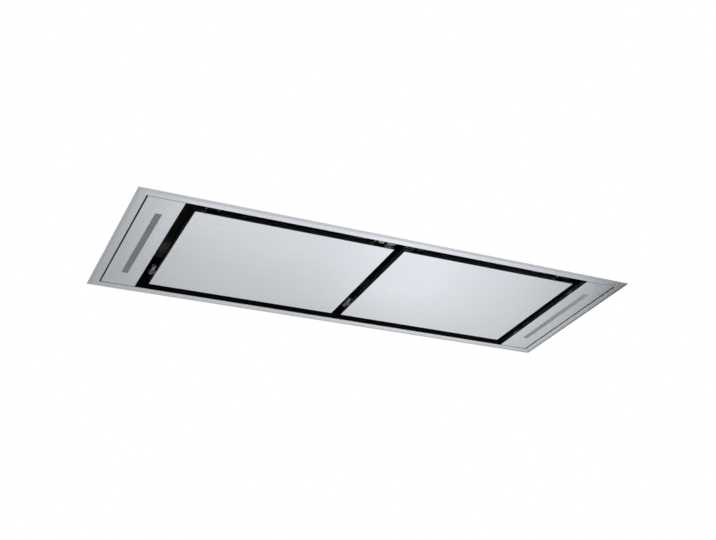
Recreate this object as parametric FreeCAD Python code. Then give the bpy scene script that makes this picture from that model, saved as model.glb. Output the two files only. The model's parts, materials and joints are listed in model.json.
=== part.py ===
import FreeCAD, Part
import math
import os
from FreeCAD import Vector

# A flush ceiling extractor insert, in millimetres. X runs along the length, Y away from the viewer, Z up.
# The origin is at the plan centre, on the ceiling plane that the trim frame's hem lies against.

# Trim frame
FRAME_LENGTH = 1200.0
FRAME_DEPTH = 430.0
FRAME_BORDER = 22.4
TRIM_SHEET = 1.0
HEM_WIDTH = 3.0
SEAL_WIDTH = 9.0
BEVEL_WIDTH = 8.0
BEVEL_RISE = 0.8
SKIRT_HEIGHT = 28.0

# Casing
CASING_SHEET = 0.8
CASING_TOP = 108.0
CASING_GAP = 0.2
CASING_RIM = 14.0
END_FLANGE = 12.0
END_FLANGE_START = 24.0
BEAD_RADIUS = 9.0
BEAD_HEIGHT = 3.0
BEAD_OFFSET = 120.0
BEAD_END_GAP = 90.0

# Air chamber
LINER_SHEET = 1.0
PARTITION_GAP = 0.3
CARRIER_HEIGHT = 70.0
CARRIER_LAND = 34.0
CARRIER_RIM = 12.0

# Slots round the suction panels
SLOT_WIDTH = 25.3
END_SLOT_WIDTH = 26.8

# Light panels and lamps
LIGHT_PANEL_WIDTH = 77.6
LIGHT_PANEL_END_GAP = 3.5
LIGHT_PANEL_SIDE_GAP = 1.8
LIGHT_PANEL_RETURN = 12.0
LAMP_WIDTH = 14.0
LAMP_LENGTH = 266.0
LAMP_GAP = 0.2
DIFFUSER_LEDGE = 3.0
DIFFUSER_THICKNESS = 1.5
PROFILE_WALL = 1.5
PROFILE_HEIGHT = 14.0
PROFILE_CLEARANCE = 1.5
BOARD_THICKNESS = 1.6
BOARD_MARGIN = 1.0
CHIP_SIZE = 3.0
CHIP_HEIGHT = 0.8
CHIP_COUNT = 8
CLIP_SPREAD = 240.0
CLIP_WIDTH = 16.0
CLIP_SHEET = 0.8
CLIP_GRIP = 6.0
CLIP_BACK = 10.0

# Suction panels and their hinges
PANEL_SHEET = 1.2
PANEL_RETURN = 14.0
PANEL_LIP = 14.0
BEND_RADIUS = 0.8
HINGE_INSET = 36.0
HINGE_STANDOFF = 7.2
HINGE_HEIGHT = 11.0
LEAF_WIDTH = 24.0
LEAF_SHEET = 1.5
KNUCKLE_SIZE = 9.0
PIN_RADIUS = 2.5
RUNNING_GAP = 0.05
HINGE_SIDE_GAP = 0.4
BRACKET_SHEET = 2.5
BRACKET_WIDTH = 22.0
BRACKET_BACK_HEIGHT = 26.0

# Magnetic catches
CATCH_INSET = 80.0
CATCH_WIDTH = 30.0
CATCH_SHEET = 1.5
CATCH_BACK_HEIGHT = 22.0
MAGNET_HEIGHT = 5.7
MAGNET_LENGTH = 24.0
MAGNET_DEPTH = 11.0
CATCH_GAP = 0.3

# Grease filters
FILTER_GAP = 1.0
FILTER_THICKNESS = 10.0
FILTER_DROP = 4.0
FILTER_RAIL = 14.0
FILTER_TAB = 8.0
FILTER_TAB_WIDTH = 30.0
FILTER_TAB_THICKNESS = 2.0
BAFFLE_SHEET = 1.2
BAFFLE_PITCH = 40.0
BAFFLE_SLOT = 24.0
BAFFLE_EDGE = 10.0
LATCH_WIDTH = 20.0
LATCH_THICKNESS = 2.0
LATCH_ENGAGEMENT = 6.0
LATCH_TRAVEL = 7.0
LATCH_GRIP_DROP = 10.0
LATCH_GAP = 0.3
LATCH_PAD_WIDTH = 50.0
LATCH_PAD_DEPTH = 20.0
LATCH_PAD_THICKNESS = 2.0

# Blower wheel
WHEEL_RADIUS = 95.0
WHEEL_HEIGHT = 80.0
BLADE_COUNT = 18
BLADE_DEPTH = 19.0
BLADE_THICKNESS = 1.2
BLADE_LEAD = 9.0
BLADE_BOW = 2.0
BLADE_FLATS = 3
WHEEL_RING = 3.0
WHEEL_PLATE = 2.0
HUB_RADIUS = 16.0
HUB_HEIGHT = 18.0
WHEEL_FLOOR_GAP = 8.0
WHEEL_ROOF_GAP = 8.0

# Scroll
TONGUE_GAP = 8.0
SCROLL_GROWTH = 18.0
SCROLL_WALL = 1.5
SCROLL_PLATE = 2.0
TONGUE_RADIUS = 5.0
DUCT_WIDTH = 107.0
BLOWER_X = -30.0
COLLAR_EYE_GAP = 3.0
COLLAR_OVERLAP = 4.0
INLET_MARGIN = 4.0

# Motor
SHAFT_RADIUS = 4.0
HUB_FIT = 0.02
NUT_ACROSS_FLATS = 13.0
NUT_HEIGHT = 6.5
SHAFT_END = 4.0
CAN_RADIUS = 46.0
CAN_HEIGHT = 50.0
LUG_SHEET = 2.5
LUG_WIDTH = 22.0
LUG_END = 4.0
SHAFT_SEAT = 16.0
BUFFER_COUNT = 3
BUFFER_CIRCLE = 57.0
BUFFER_SIZE = 12.0
BUFFER_HEIGHT = 3.0
MOTOR_HOLE_RADIUS = 12.0

# Motor box
BOX_SHEET = 1.0
BOX_HEIGHT = 180.0
BOX_MARGIN = 24.5
BOX_LEFT_ROOM = 58.0
BOX_RIGHT_ROOM = 156.0
BOX_FLANGE = 14.0
LID_RIM = 14.0
LID_GAP = 0.3
CAPACITOR_LENGTH = 47.0
CAPACITOR_DEPTH = 20.0
CAPACITOR_HEIGHT = 34.0
CAPACITOR_LIFT = 40.0
CAPACITOR_EAR = 12.0
CAPACITOR_Y = -100.0

# Outlet
SPIGOT_RADIUS = 74.5
SPIGOT_WALL = 2.5
SPIGOT_LENGTH = 70.0
SPIGOT_PLATE = 3.0
SPIGOT_PLATE_SIZE = 158.0
SPIGOT_LIFT = 8.0
SPIGOT_FLANGE = 3.0
SPIGOT_FLANGE_MARGIN = 6.0
TRANSITION_LENGTH = 42.0
NECK_FACETS = 4
FLAP_SHEET = 1.2
FLAP_GAP = 0.8
FLAP_SETBACK = 6.0
DAMPER_PIN_RADIUS = 2.0
DAMPER_KNUCKLE_SIZE = 6.0
DAMPER_KNUCKLE_LENGTH = 46.0
DAMPER_KNUCKLE_GAP = 1.0
DAMPER_PIN_SEAT = 1.5

# Hanging brackets
HANGER_SHEET = 2.5
HANGER_WIDTH = 40.0
HANGER_FOOT = 26.0
HANGER_TAB = 32.0
HANGER_RISE = 32.0
HANGER_HOLE_RADIUS = 4.5
HANGER_END_INSET = 4.0
HANGER_SIDE_INSET = 0.4

# Control box
CONTROL_LENGTH = 160.0
CONTROL_DEPTH = 140.0
CONTROL_HEIGHT = 44.0
CONTROL_SHEET = 1.0
CONTROL_END_GAP = 100.0
CONTROL_RIM = 8.0
STANDOFF_SIZE = 6.0
STANDOFF_HEIGHT = 8.0
CIRCUIT_LENGTH = 90.0
CIRCUIT_DEPTH = 70.0
CIRCUIT_THICKNESS = 1.6
RELAY_SIZE = 16.0
RELAY_PITCH = 22.0
TRANSFORMER_LENGTH = 32.0
TRANSFORMER_DEPTH = 26.0
TRANSFORMER_HEIGHT = 19.0
TERMINAL_LENGTH = 48.0
TERMINAL_DEPTH = 16.0
TERMINAL_HEIGHT = 14.0
TERMINAL_WAYS = 6
DRIVER_LENGTH = 110.0
DRIVER_DEPTH = 30.0
DRIVER_HEIGHT = 24.0
GLAND_BORE = 4.5
GLAND_RADIUS = 8.0
GLAND_HEX = 22.0
GLAND_HEX_LENGTH = 6.0
GLAND_NOSE = 14.0
GLAND_NOSE_HEX = 18.0
GLAND_LOCKNUT = 4.0
GLAND_GAP = 0.1

# Levels
FACE_Z = -2 * TRIM_SHEET
LIP_Z = -TRIM_SHEET
INNER_TOP = CASING_TOP - CASING_SHEET
PANEL_TOP = FACE_Z + PANEL_RETURN
FILTER_BOTTOM = CARRIER_HEIGHT - FILTER_DROP
FILTER_TOP = FILTER_BOTTOM + FILTER_THICKNESS
CARRIER_TOP = CARRIER_HEIGHT + LINER_SHEET

# Half sizes in plan
HALF_LENGTH = FRAME_LENGTH / 2
HALF_DEPTH = FRAME_DEPTH / 2
HEM_X = HALF_LENGTH - HEM_WIDTH
HEM_Y = HALF_DEPTH - HEM_WIDTH
OPEN_X = HALF_LENGTH - FRAME_BORDER
OPEN_Y = HALF_DEPTH - FRAME_BORDER
CASING_X = OPEN_X + CASING_SHEET
CASING_Y = OPEN_Y + CASING_SHEET
CHAMBER_Y = OPEN_Y - LINER_SHEET
LIGHT_OUTER = OPEN_X - LIGHT_PANEL_END_GAP
LIGHT_INNER = LIGHT_OUTER - LIGHT_PANEL_WIDTH
LIGHT_CENTRE = (LIGHT_OUTER + LIGHT_INNER) / 2
LIGHT_Y = OPEN_Y - LIGHT_PANEL_SIDE_GAP
PARTITION_X = LIGHT_INNER + TRIM_SHEET
PANEL_OUTER = LIGHT_INNER - END_SLOT_WIDTH
PANEL_INNER = SLOT_WIDTH / 2
PANEL_Y = OPEN_Y - SLOT_WIDTH
PANEL_SPAN = (PANEL_INNER, PANEL_OUTER)

# Hinge line
HINGE_Y = -PANEL_Y - HINGE_STANDOFF
HINGE_Z = FACE_Z + HINGE_HEIGHT

# Blower places
SCROLL_NEAR = WHEEL_RADIUS + TONGUE_GAP
BLOWER_Y = SCROLL_GROWTH
SCROLL_FLOOR = CASING_TOP + SCROLL_PLATE
WHEEL_BOTTOM = SCROLL_FLOOR + WHEEL_FLOOR_GAP
WHEEL_TOP = WHEEL_BOTTOM + WHEEL_HEIGHT
SCROLL_TOP = WHEEL_TOP + WHEEL_ROOF_GAP
COVER_TOP = SCROLL_TOP + SCROLL_PLATE
CAN_FLOOR = COVER_TOP + BUFFER_HEIGHT
WHEEL_EYE = WHEEL_RADIUS - BLADE_DEPTH
COLLAR_BORE = WHEEL_EYE - COLLAR_EYE_GAP - SCROLL_WALL
INLET_SIZE = 2 * (COLLAR_BORE + INLET_MARGIN)
DUCT_Y_OUTER = BLOWER_Y - SCROLL_NEAR - 3 * SCROLL_GROWTH
DUCT_Y_INNER = DUCT_Y_OUTER + DUCT_WIDTH
HUB_BOTTOM = WHEEL_TOP - HUB_HEIGHT

# Motor box limits
BOX_LEFT = BLOWER_X - SCROLL_NEAR - 2 * SCROLL_GROWTH - SCROLL_WALL - BOX_LEFT_ROOM
BOX_RIGHT = BLOWER_X + SCROLL_NEAR + BOX_RIGHT_ROOM
BOX_Y = SCROLL_NEAR + 2 * SCROLL_GROWTH + SCROLL_WALL + BOX_MARGIN
BOX_TOP = CASING_TOP + BOX_HEIGHT

# Outlet places
SPIGOT_Y = (DUCT_Y_OUTER + DUCT_Y_INNER) / 2
SPIGOT_Z = CASING_TOP + SPIGOT_RADIUS + SPIGOT_LIFT
SPIGOT_BORE = SPIGOT_RADIUS - SPIGOT_WALL
COLLAR_START = BOX_RIGHT + TRANSITION_LENGTH
COLLAR_END = COLLAR_START + SPIGOT_LENGTH
FLAP_X = COLLAR_START + FLAP_SETBACK
FLAP_RADIUS = SPIGOT_BORE - FLAP_GAP

# Control box place
CONTROL_LEFT = CONTROL_END_GAP - OPEN_X
CONTROL_RIGHT = CONTROL_LEFT + CONTROL_LENGTH
CONTROL_TOP = CASING_TOP + CONTROL_HEIGHT


def block(x, y, z):
    """A block between the two limits given for each axis, in either order."""
    low = [min(pair) for pair in (x, y, z)]
    high = [max(pair) for pair in (x, y, z)]
    size = [b - a for a, b in zip(low, high)]
    return Part.makeBox(*size, Vector(*low))


def about(centre, width):
    """The two limits of a width centred on a place."""
    return centre - width / 2, centre + width / 2


def rod(radius, start, end):
    """A cylinder from one point to another."""
    axis = Vector(*end) - Vector(*start)
    return Part.makeCylinder(radius, axis.Length, Vector(*start), axis)


def pipe(outer, inner, start, end):
    """A straight tube from one point to another."""
    return rod(outer, start, end).cut(rod(inner, start, end))


def joined(shapes):
    """Touching shapes made into one solid."""
    return shapes[0].multiFuse(shapes[1:]).removeSplitter()


def sides(build):
    """The same piece made for the left and for the right half."""
    return {"left": build(-1), "right": build(1)}


def tray(x, y, z, sheet):
    """A folded tray with its face below, four returns and rounded bends outside."""
    outer = block(x, y, z)
    floor = min(z)
    bends = [edge for edge in outer.Edges if edge.BoundBox.ZMax < floor + sheet / 2]
    outer = outer.makeFillet(BEND_RADIUS, bends)
    inside = [(min(pair) + sheet, max(pair) - sheet) for pair in (x, y)]
    return outer.cut(block(inside[0], inside[1], (floor + sheet, max(z))))


def polygon_prism(points, direction):
    """A prism on a flat outline."""
    outline = Part.makePolygon([Vector(*p) for p in points + points[:1]])
    return Part.Face(outline).extrude(Vector(*direction))


def hexagon(across, centre, axis, length):
    """A hexagonal bar along X or Z."""
    reach = across / math.sqrt(3)
    points = []
    for k in range(6):
        u = reach * math.cos(k * math.pi / 3)
        v = reach * math.sin(k * math.pi / 3)
        offset = (0, u, v) if axis == "x" else (u, v, 0)
        points.append(tuple(c + o for c, o in zip(centre, offset)))
    return polygon_prism(points, (length, 0, 0) if axis == "x" else (0, 0, length))


def plan_corners(x, y):
    """The four corners of a centred rectangle in plan."""
    return [(-x, -y), (x, -y), (x, y), (-x, y)]


def rectangle(x, y, z):
    """A rectangular wire at one level."""
    corners = plan_corners(x, y)
    return Part.makePolygon([Vector(*corner, z) for corner in corners + corners[:1]])


# Trim frame, casing and air chamber

def flange_ring():
    """A bevelled flange with a turned-in hem, round the opening."""
    bevel_top = FACE_Z + BEVEL_RISE
    bevel = Part.makeLoft([
        rectangle(HALF_LENGTH - BEVEL_WIDTH, HALF_DEPTH - BEVEL_WIDTH, FACE_Z),
        rectangle(HALF_LENGTH, HALF_DEPTH, bevel_top),
    ], True, True)
    rim = block((-HALF_LENGTH, HALF_LENGTH), (-HALF_DEPTH, HALF_DEPTH), (bevel_top, 0))
    recess = block((-HEM_X, HEM_X), (-HEM_Y, HEM_Y), (LIP_Z, SKIRT_HEIGHT))
    opening = block((-OPEN_X, OPEN_X), (-OPEN_Y, OPEN_Y), (FACE_Z, SKIRT_HEIGHT))
    return joined([bevel, rim]).cut([recess, opening])


def skirt_ring():
    """An upright skirt on the flange, round the casing."""
    inner_x, inner_y = CASING_X + CASING_GAP, CASING_Y + CASING_GAP
    outer_x, outer_y = inner_x + TRIM_SHEET, inner_y + TRIM_SHEET
    skirt = block((-outer_x, outer_x), (-outer_y, outer_y), (LIP_Z, SKIRT_HEIGHT))
    return skirt.cut(block((-inner_x, inner_x), (-inner_y, inner_y), (LIP_Z, SKIRT_HEIGHT)))


def mitred(ring):
    """A ring as four lengths that meet in mitres."""
    outer = plan_corners(HALF_LENGTH, HALF_DEPTH)
    inner = plan_corners(HALF_LENGTH - 2 * FRAME_BORDER, HALF_DEPTH - 2 * FRAME_BORDER)
    lengths = []
    for k in range(4):
        end = (k + 1) % 4
        plan = [outer[k], outer[end], inner[end], inner[k]]
        wedge = polygon_prism([(*point, FACE_Z) for point in plan], (0, 0, SKIRT_HEIGHT - FACE_Z))
        lengths.append(ring.common(wedge).Solids[0])
    return Part.makeCompound(lengths)


def ceiling_seal():
    """A flat foam ring on the flange, inside its hem, that lies against the ceiling."""
    inner_x, inner_y = HEM_X - SEAL_WIDTH, HEM_Y - SEAL_WIDTH
    ring = block((-HEM_X, HEM_X), (-HEM_Y, HEM_Y), (LIP_Z, 0))
    return ring.cut(block((-inner_x, inner_x), (-inner_y, inner_y), (LIP_Z, 0)))


def bead(x, y):
    """A pressed stiffening bead of the casing top, as its outer and inner forms."""
    axis_z = CASING_TOP + BEAD_HEIGHT - BEAD_RADIUS
    low, high = min(x), max(x)
    above = block(x, about(y, 4 * BEAD_RADIUS), (INNER_TOP, CASING_TOP + BEAD_RADIUS))
    outer = rod(BEAD_RADIUS, (low, y, axis_z), (high, y, axis_z)).common(above)
    ends = low + CASING_SHEET, high - CASING_SHEET
    inner_radius = BEAD_RADIUS - CASING_SHEET
    inner = rod(inner_radius, (ends[0], y, axis_z), (ends[1], y, axis_z))
    return outer, inner


def casing_shell():
    """The casing's top: a pan with rims over the long sides, beads and the blower's inlet cut-out."""
    rim_low, rim_y = CASING_TOP - CASING_RIM, CASING_Y + CASING_SHEET
    pan = block((-OPEN_X, OPEN_X), (-rim_y, rim_y), (rim_low, CASING_TOP))
    pan = pan.cut(block((-OPEN_X, OPEN_X), (-CASING_Y, CASING_Y), (rim_low, INNER_TOP)))
    runs = [(BOX_RIGHT + BEAD_END_GAP, OPEN_X - BEAD_END_GAP), (CONTROL_LEFT, CONTROL_RIGHT)]
    beads = [bead(run, y) for run in runs for y in (-BEAD_OFFSET, BEAD_OFFSET)]
    pan = joined([pan] + [outer for outer, inner in beads])
    inlet = block(about(BLOWER_X, INLET_SIZE), about(BLOWER_Y, INLET_SIZE), (INNER_TOP, CASING_TOP))
    return pan.cut([inner for outer, inner in beads] + [inlet])


def casing_side(side):
    """One long side of the casing, under the top's rim."""
    return block((-OPEN_X, OPEN_X), (side * OPEN_Y, side * CASING_Y), (LIP_Z, INNER_TOP))


def casing_end(side):
    """An end plate with lap flanges inside the top and the long sides."""
    x = side * OPEN_X
    plate = block((x, side * CASING_X), (-CASING_Y, CASING_Y), (LIP_Z, CASING_TOP))
    lap = (x, x - side * END_FLANGE)
    wall = block(lap, (-OPEN_Y, OPEN_Y), (END_FLANGE_START, INNER_TOP))
    inside_y = OPEN_Y - CASING_SHEET
    wall = wall.cut(block(lap, (-inside_y, inside_y), (END_FLANGE_START, INNER_TOP - CASING_SHEET)))
    return joined([plate, wall])


def liner(side):
    """A dark lining plate against one long side of the casing."""
    top = CARRIER_TOP + CARRIER_RIM
    return block((-PARTITION_X, PARTITION_X), (side * OPEN_Y, side * CHAMBER_Y), (LIP_Z, top))


def partition(side):
    """The wall between the air chamber and a lamp compartment."""
    x = side * PARTITION_X
    wall_x = (x, x + side * LINER_SHEET)
    wall = block(wall_x, (-OPEN_Y, OPEN_Y), (LIP_Z, INNER_TOP))
    inside = LIGHT_Y - TRIM_SHEET - PARTITION_GAP
    notch_z = (LIP_Z, FACE_Z + LIGHT_PANEL_RETURN + PARTITION_GAP)
    notches = [block(wall_x, (end * OPEN_Y, end * inside), notch_z) for end in (-1, 1)]
    return wall.cut(notches)


def filter_opening(side):
    """Plan limits of one filter opening in the carrier."""
    x = (side * CARRIER_LAND, side * (PARTITION_X - CARRIER_LAND))
    y = CHAMBER_Y - CARRIER_LAND
    return (min(x), max(x)), (-y, y)


def filter_carrier():
    """The chamber's roof: a pan with an upturned rim and two filter openings."""
    x, y = PARTITION_X, CHAMBER_Y
    pan = block((-x, x), (-y, y), (CARRIER_HEIGHT, CARRIER_TOP + CARRIER_RIM))
    x, y = x - LINER_SHEET, y - LINER_SHEET
    pan = pan.cut(block((-x, x), (-y, y), (CARRIER_TOP, CARRIER_TOP + CARRIER_RIM)))
    return pan.cut([block(*filter_opening(side), (CARRIER_HEIGHT, CARRIER_TOP)) for side in (-1, 1)])


# Light panels and lamps

def lamp_block(side, width, length, z):
    """A block centred on a lamp."""
    return block(about(side * LIGHT_CENTRE, width), about(0, length), z)


def light_panel(side):
    """A folded end panel with the lamp's slot."""
    x = (side * LIGHT_INNER, side * LIGHT_OUTER)
    z = (FACE_Z, FACE_Z + LIGHT_PANEL_RETURN)
    panel = tray(x, (-LIGHT_Y, LIGHT_Y), z, TRIM_SHEET)
    slot = lamp_block(side, LAMP_WIDTH + 2 * LAMP_GAP, LAMP_LENGTH + 2 * LAMP_GAP, (FACE_Z, LIP_Z))
    return panel.cut(slot)


def light_panel_clips():
    """Spring strips on the partitions that press each light panel's inner return against them."""
    low = FACE_Z + LIGHT_PANEL_RETURN - CLIP_GRIP
    step = FACE_Z + LIGHT_PANEL_RETURN + PARTITION_GAP
    top = step + CLIP_BACK
    clips = []
    for side in (-1, 1):
        wall, face = side * PARTITION_X, side * LIGHT_INNER
        for y in about(0, CLIP_SPREAD):
            width = about(y, CLIP_WIDTH)
            back = block((wall, wall - side * CLIP_SHEET), width, (step, top))
            shelf = block((wall, face - side * CLIP_SHEET), width, (step, step + CLIP_SHEET))
            leg = block((face, face - side * CLIP_SHEET), width, (low, step + CLIP_SHEET))
            clips.append(joined([back, shelf, leg]))
    return Part.makeCompound(clips)


def led_diffuser(side):
    """A T-section light cover: its stem fills the slot, its ledge lies on the panel."""
    stem = lamp_block(side, LAMP_WIDTH, LAMP_LENGTH, (FACE_Z, LIP_Z))
    ledge_size = [size + 2 * DIFFUSER_LEDGE for size in (LAMP_WIDTH, LAMP_LENGTH)]
    ledge = lamp_block(side, *ledge_size, (LIP_Z, LIP_Z + DIFFUSER_THICKNESS))
    return joined([stem, ledge])


def profile_inside():
    """The inner width and length of a lamp's profile."""
    margin = 2 * (DIFFUSER_LEDGE + PROFILE_CLEARANCE)
    return LAMP_WIDTH + margin, LAMP_LENGTH + margin


def led_profile(side):
    """An inverted channel with closed ends over the diffuser."""
    inner = profile_inside()
    outer = [size + 2 * PROFILE_WALL for size in inner]
    top = LIP_Z + PROFILE_HEIGHT
    cover = lamp_block(side, *outer, (LIP_Z, top))
    return cover.cut(lamp_block(side, *inner, (LIP_Z, top - PROFILE_WALL)))


def led_board(side):
    """The lamp's circuit strip with its row of chips, under the profile's roof."""
    width, length = [size - 2 * BOARD_MARGIN for size in profile_inside()]
    top = LIP_Z + PROFILE_HEIGHT - PROFILE_WALL
    bottom = top - BOARD_THICKNESS
    strip = lamp_block(side, width, length, (bottom, top))
    pitch = LAMP_LENGTH / CHIP_COUNT
    chips = []
    for k in range(CHIP_COUNT):
        y = (k - (CHIP_COUNT - 1) / 2) * pitch
        x = about(side * LIGHT_CENTRE, CHIP_SIZE)
        chips.append(block(x, about(y, CHIP_SIZE), (bottom - CHIP_HEIGHT, bottom)))
    return joined([strip] + chips)


# Suction panels, hinges and catches

def suction_panel(side):
    """A folded panel tray with a stiffening lip on its far return."""
    x = [side * limit for limit in PANEL_SPAN]
    panel = tray(x, (-PANEL_Y, PANEL_Y), (FACE_Z, PANEL_TOP), PANEL_SHEET)
    inner_x = (min(x) + PANEL_SHEET, max(x) - PANEL_SHEET)
    lip = block(inner_x, (PANEL_Y - PANEL_SHEET, PANEL_Y - PANEL_LIP), (PANEL_TOP - PANEL_SHEET, PANEL_TOP))
    return joined([panel, lip])


def hinge_places(side):
    """The middle of each of a panel's two hinges along X."""
    return [side * (PANEL_INNER + HINGE_INSET), side * (PANEL_OUTER - HINGE_INSET)]


def along_hinge(radius, x):
    """A cylinder on the hinge line."""
    return rod(radius, (min(x), HINGE_Y, HINGE_Z), (max(x), HINGE_Y, HINGE_Z))


def hinge_leaves(side):
    """The leaves on a panel's near return, each with its eye round the pin."""
    leaves = []
    for centre in hinge_places(side):
        x = about(centre, LEAF_WIDTH)
        top = HINGE_Z + KNUCKLE_SIZE / 2
        plate = block(x, (-PANEL_Y, -PANEL_Y - LEAF_SHEET), (LIP_Z, top))
        web = block(x, (HINGE_Y, -PANEL_Y), (top - LEAF_SHEET, top))
        eye = block(x, about(HINGE_Y, KNUCKLE_SIZE), about(HINGE_Z, KNUCKLE_SIZE))
        leaves.append(joined([plate, web, eye]).cut(along_hinge(PIN_RADIUS + RUNNING_GAP, x)))
    return Part.makeCompound(leaves)


def bracket_ear(centre):
    """Limits along X of the ear on the outer side of a knuckle."""
    side = math.copysign(1, centre)
    near = centre + side * (LEAF_WIDTH / 2 + HINGE_SIDE_GAP)
    return near, near + side * BRACKET_SHEET


def hinge_brackets():
    """Single-ear brackets on the near liner that carry the hinge pins."""
    low, high = about(HINGE_Z, KNUCKLE_SIZE)
    brackets = []
    for centre in hinge_places(-1) + hinge_places(1):
        ear = bracket_ear(centre)
        back_x = (ear[1], ear[1] - math.copysign(BRACKET_WIDTH, centre))
        back = block(back_x, (-CHAMBER_Y, -CHAMBER_Y + LEAF_SHEET), (low, low + BRACKET_BACK_HEIGHT))
        lug = block(ear, (-CHAMBER_Y, HINGE_Y + KNUCKLE_SIZE / 2), (low, high))
        brackets.append(joined([back, lug]).cut(along_hinge(PIN_RADIUS, ear)))
    return Part.makeCompound(brackets)


def hinge_pins():
    """The pins, each from its bracket's ear through the knuckle."""
    pins = []
    for centre in hinge_places(-1) + hinge_places(1):
        free_end = centre - math.copysign(LEAF_WIDTH / 2, centre)
        pins.append(along_hinge(PIN_RADIUS, (bracket_ear(centre)[1], free_end)))
    return Part.makeCompound(pins)


def catch_places():
    """The middle of each magnetic catch along X."""
    near, far = PANEL_INNER + CATCH_INSET, PANEL_OUTER - CATCH_INSET
    return [-far, -near, near, far]


def magnet_top():
    """The level of the catch arms' underside."""
    return PANEL_TOP + CATCH_GAP + MAGNET_HEIGHT


def magnet_y():
    """The magnets' limits in Y, over the middle of the panel's lip."""
    return about(PANEL_Y - PANEL_LIP / 2, MAGNET_DEPTH)


def catch_brackets():
    """Angle brackets on the far liner that reach over the panels' lips."""
    low = magnet_top()
    brackets = []
    for centre in catch_places():
        x = about(centre, CATCH_WIDTH)
        back = block(x, (CHAMBER_Y, CHAMBER_Y - CATCH_SHEET), (low, low + CATCH_BACK_HEIGHT))
        arm = block(x, (CHAMBER_Y, min(magnet_y())), (low, low + CATCH_SHEET))
        brackets.append(joined([back, arm]))
    return Part.makeCompound(brackets)


def catch_magnets():
    """The block magnets under the catch arms."""
    z = (PANEL_TOP + CATCH_GAP, magnet_top())
    return Part.makeCompound([block(about(centre, MAGNET_LENGTH), magnet_y(), z)
                              for centre in catch_places()])


# Grease filters

def filter_plan(side):
    """Outer plan limits of a filter."""
    x, y = filter_opening(side)
    return (x[0] + FILTER_GAP, x[1] - FILTER_GAP), (y[0] + FILTER_GAP, y[1] - FILTER_GAP)


def filter_window(side):
    """Inner plan limits of a filter's frame."""
    x, y = filter_plan(side)
    return (x[0] + FILTER_RAIL, x[1] - FILTER_RAIL), (y[0] + FILTER_RAIL, y[1] - FILTER_RAIL)


def latch_pad(side, margin):
    """The plan limits of the pad that carries a latch, with a margin round it."""
    x, y = filter_window(side)
    pad_x = about(sum(x) / 2, LATCH_PAD_WIDTH + 2 * margin)
    return pad_x, (y[0], y[0] + LATCH_PAD_DEPTH + margin)


def latch_level():
    """The limits in Z of a latch's bolt, just over the carrier."""
    low = CARRIER_TOP + LATCH_GAP
    return low, low + LATCH_THICKNESS


def grip_y(side):
    """The limits in Y of a latch's grip at rest, inside the near rail."""
    inner = filter_window(side)[1][0] + LATCH_GAP
    return inner, inner + LATCH_THICKNESS


def filter_frame(side):
    """A filter's rail frame with two far tabs and a slotted pad for the latch."""
    x, y = filter_plan(side)
    frame = block(x, y, (FILTER_BOTTOM, FILTER_TOP))
    window = filter_window(side)
    frame = frame.cut(block(*window, (FILTER_BOTTOM, FILTER_TOP)))
    pad = block(*latch_pad(side, 0), (FILTER_BOTTOM, FILTER_BOTTOM + LATCH_PAD_THICKNESS))
    tabs = []
    for centre in about(sum(x) / 2, (x[1] - x[0]) / 2):
        tab_z = (CARRIER_TOP, CARRIER_TOP + FILTER_TAB_THICKNESS)
        tabs.append(block(about(centre, FILTER_TAB_WIDTH), (y[1], y[1] + FILTER_TAB), tab_z))
    middle = sum(x) / 2
    bolt_x = about(middle, LATCH_WIDTH + 2 * LATCH_GAP)
    low, high = latch_level()
    bolt_slot = block(bolt_x, (y[0], window[1][0]), (low - LATCH_GAP, high + LATCH_GAP))
    grip = grip_y(side)
    grip_limits = (grip[0] - LATCH_GAP, grip[1] + LATCH_TRAVEL + LATCH_GAP)
    grip_slot = block(bolt_x, grip_limits, (FILTER_BOTTOM, FILTER_BOTTOM + LATCH_PAD_THICKNESS))
    return joined([frame, pad] + tabs).cut([bolt_slot, grip_slot])


def filter_baffle(side):
    """The filter's slotted sheet, cut away round the latch pad."""
    x, y = filter_window(side)
    low = FILTER_BOTTOM + LATCH_PAD_THICKNESS
    sheet = block(x, y, (low, low + BAFFLE_SHEET))
    notch = block(*latch_pad(side, LATCH_GAP), (low, low + BAFFLE_SHEET))
    columns = int((x[1] - x[0]) // BAFFLE_PITCH)
    length = (y[0] + LATCH_PAD_DEPTH + BAFFLE_EDGE, y[1] - BAFFLE_EDGE)
    slots = []
    for k in range(columns):
        centre = sum(x) / 2 + (k - (columns - 1) / 2) * BAFFLE_PITCH
        slots.append(block(about(centre, BAFFLE_SLOT), length, (low, low + BAFFLE_SHEET)))
    return sheet.cut([notch] + slots)


def filter_latch(side):
    """A sliding latch: a bolt over the carrier and a grip that hangs through the pad."""
    x = about(sum(filter_plan(side)[0]) / 2, LATCH_WIDTH)
    low, high = latch_level()
    grip = grip_y(side)
    nose = filter_opening(side)[1][0] - LATCH_ENGAGEMENT
    bolt = block(x, (nose, grip[1]), (low, high))
    handle = block(x, grip, (FILTER_BOTTOM - LATCH_GRIP_DROP, high))
    return joined([bolt, handle])


# Blower

def at_blower(x, y, z):
    """A point given from the blower's axis."""
    return Vector(BLOWER_X + x, BLOWER_Y + y, z)


def arc(centre, radius, start, end):
    """A circular arc in plan, between two angles in degrees, from the blower's axis."""
    points = []
    for angle in (start, (start + end) / 2, end):
        turn = math.radians(angle)
        x, y = centre[0] + radius * math.cos(turn), centre[1] + radius * math.sin(turn)
        points.append(at_blower(x, y, 0))
    return Part.Arc(*points).toShape()


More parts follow.
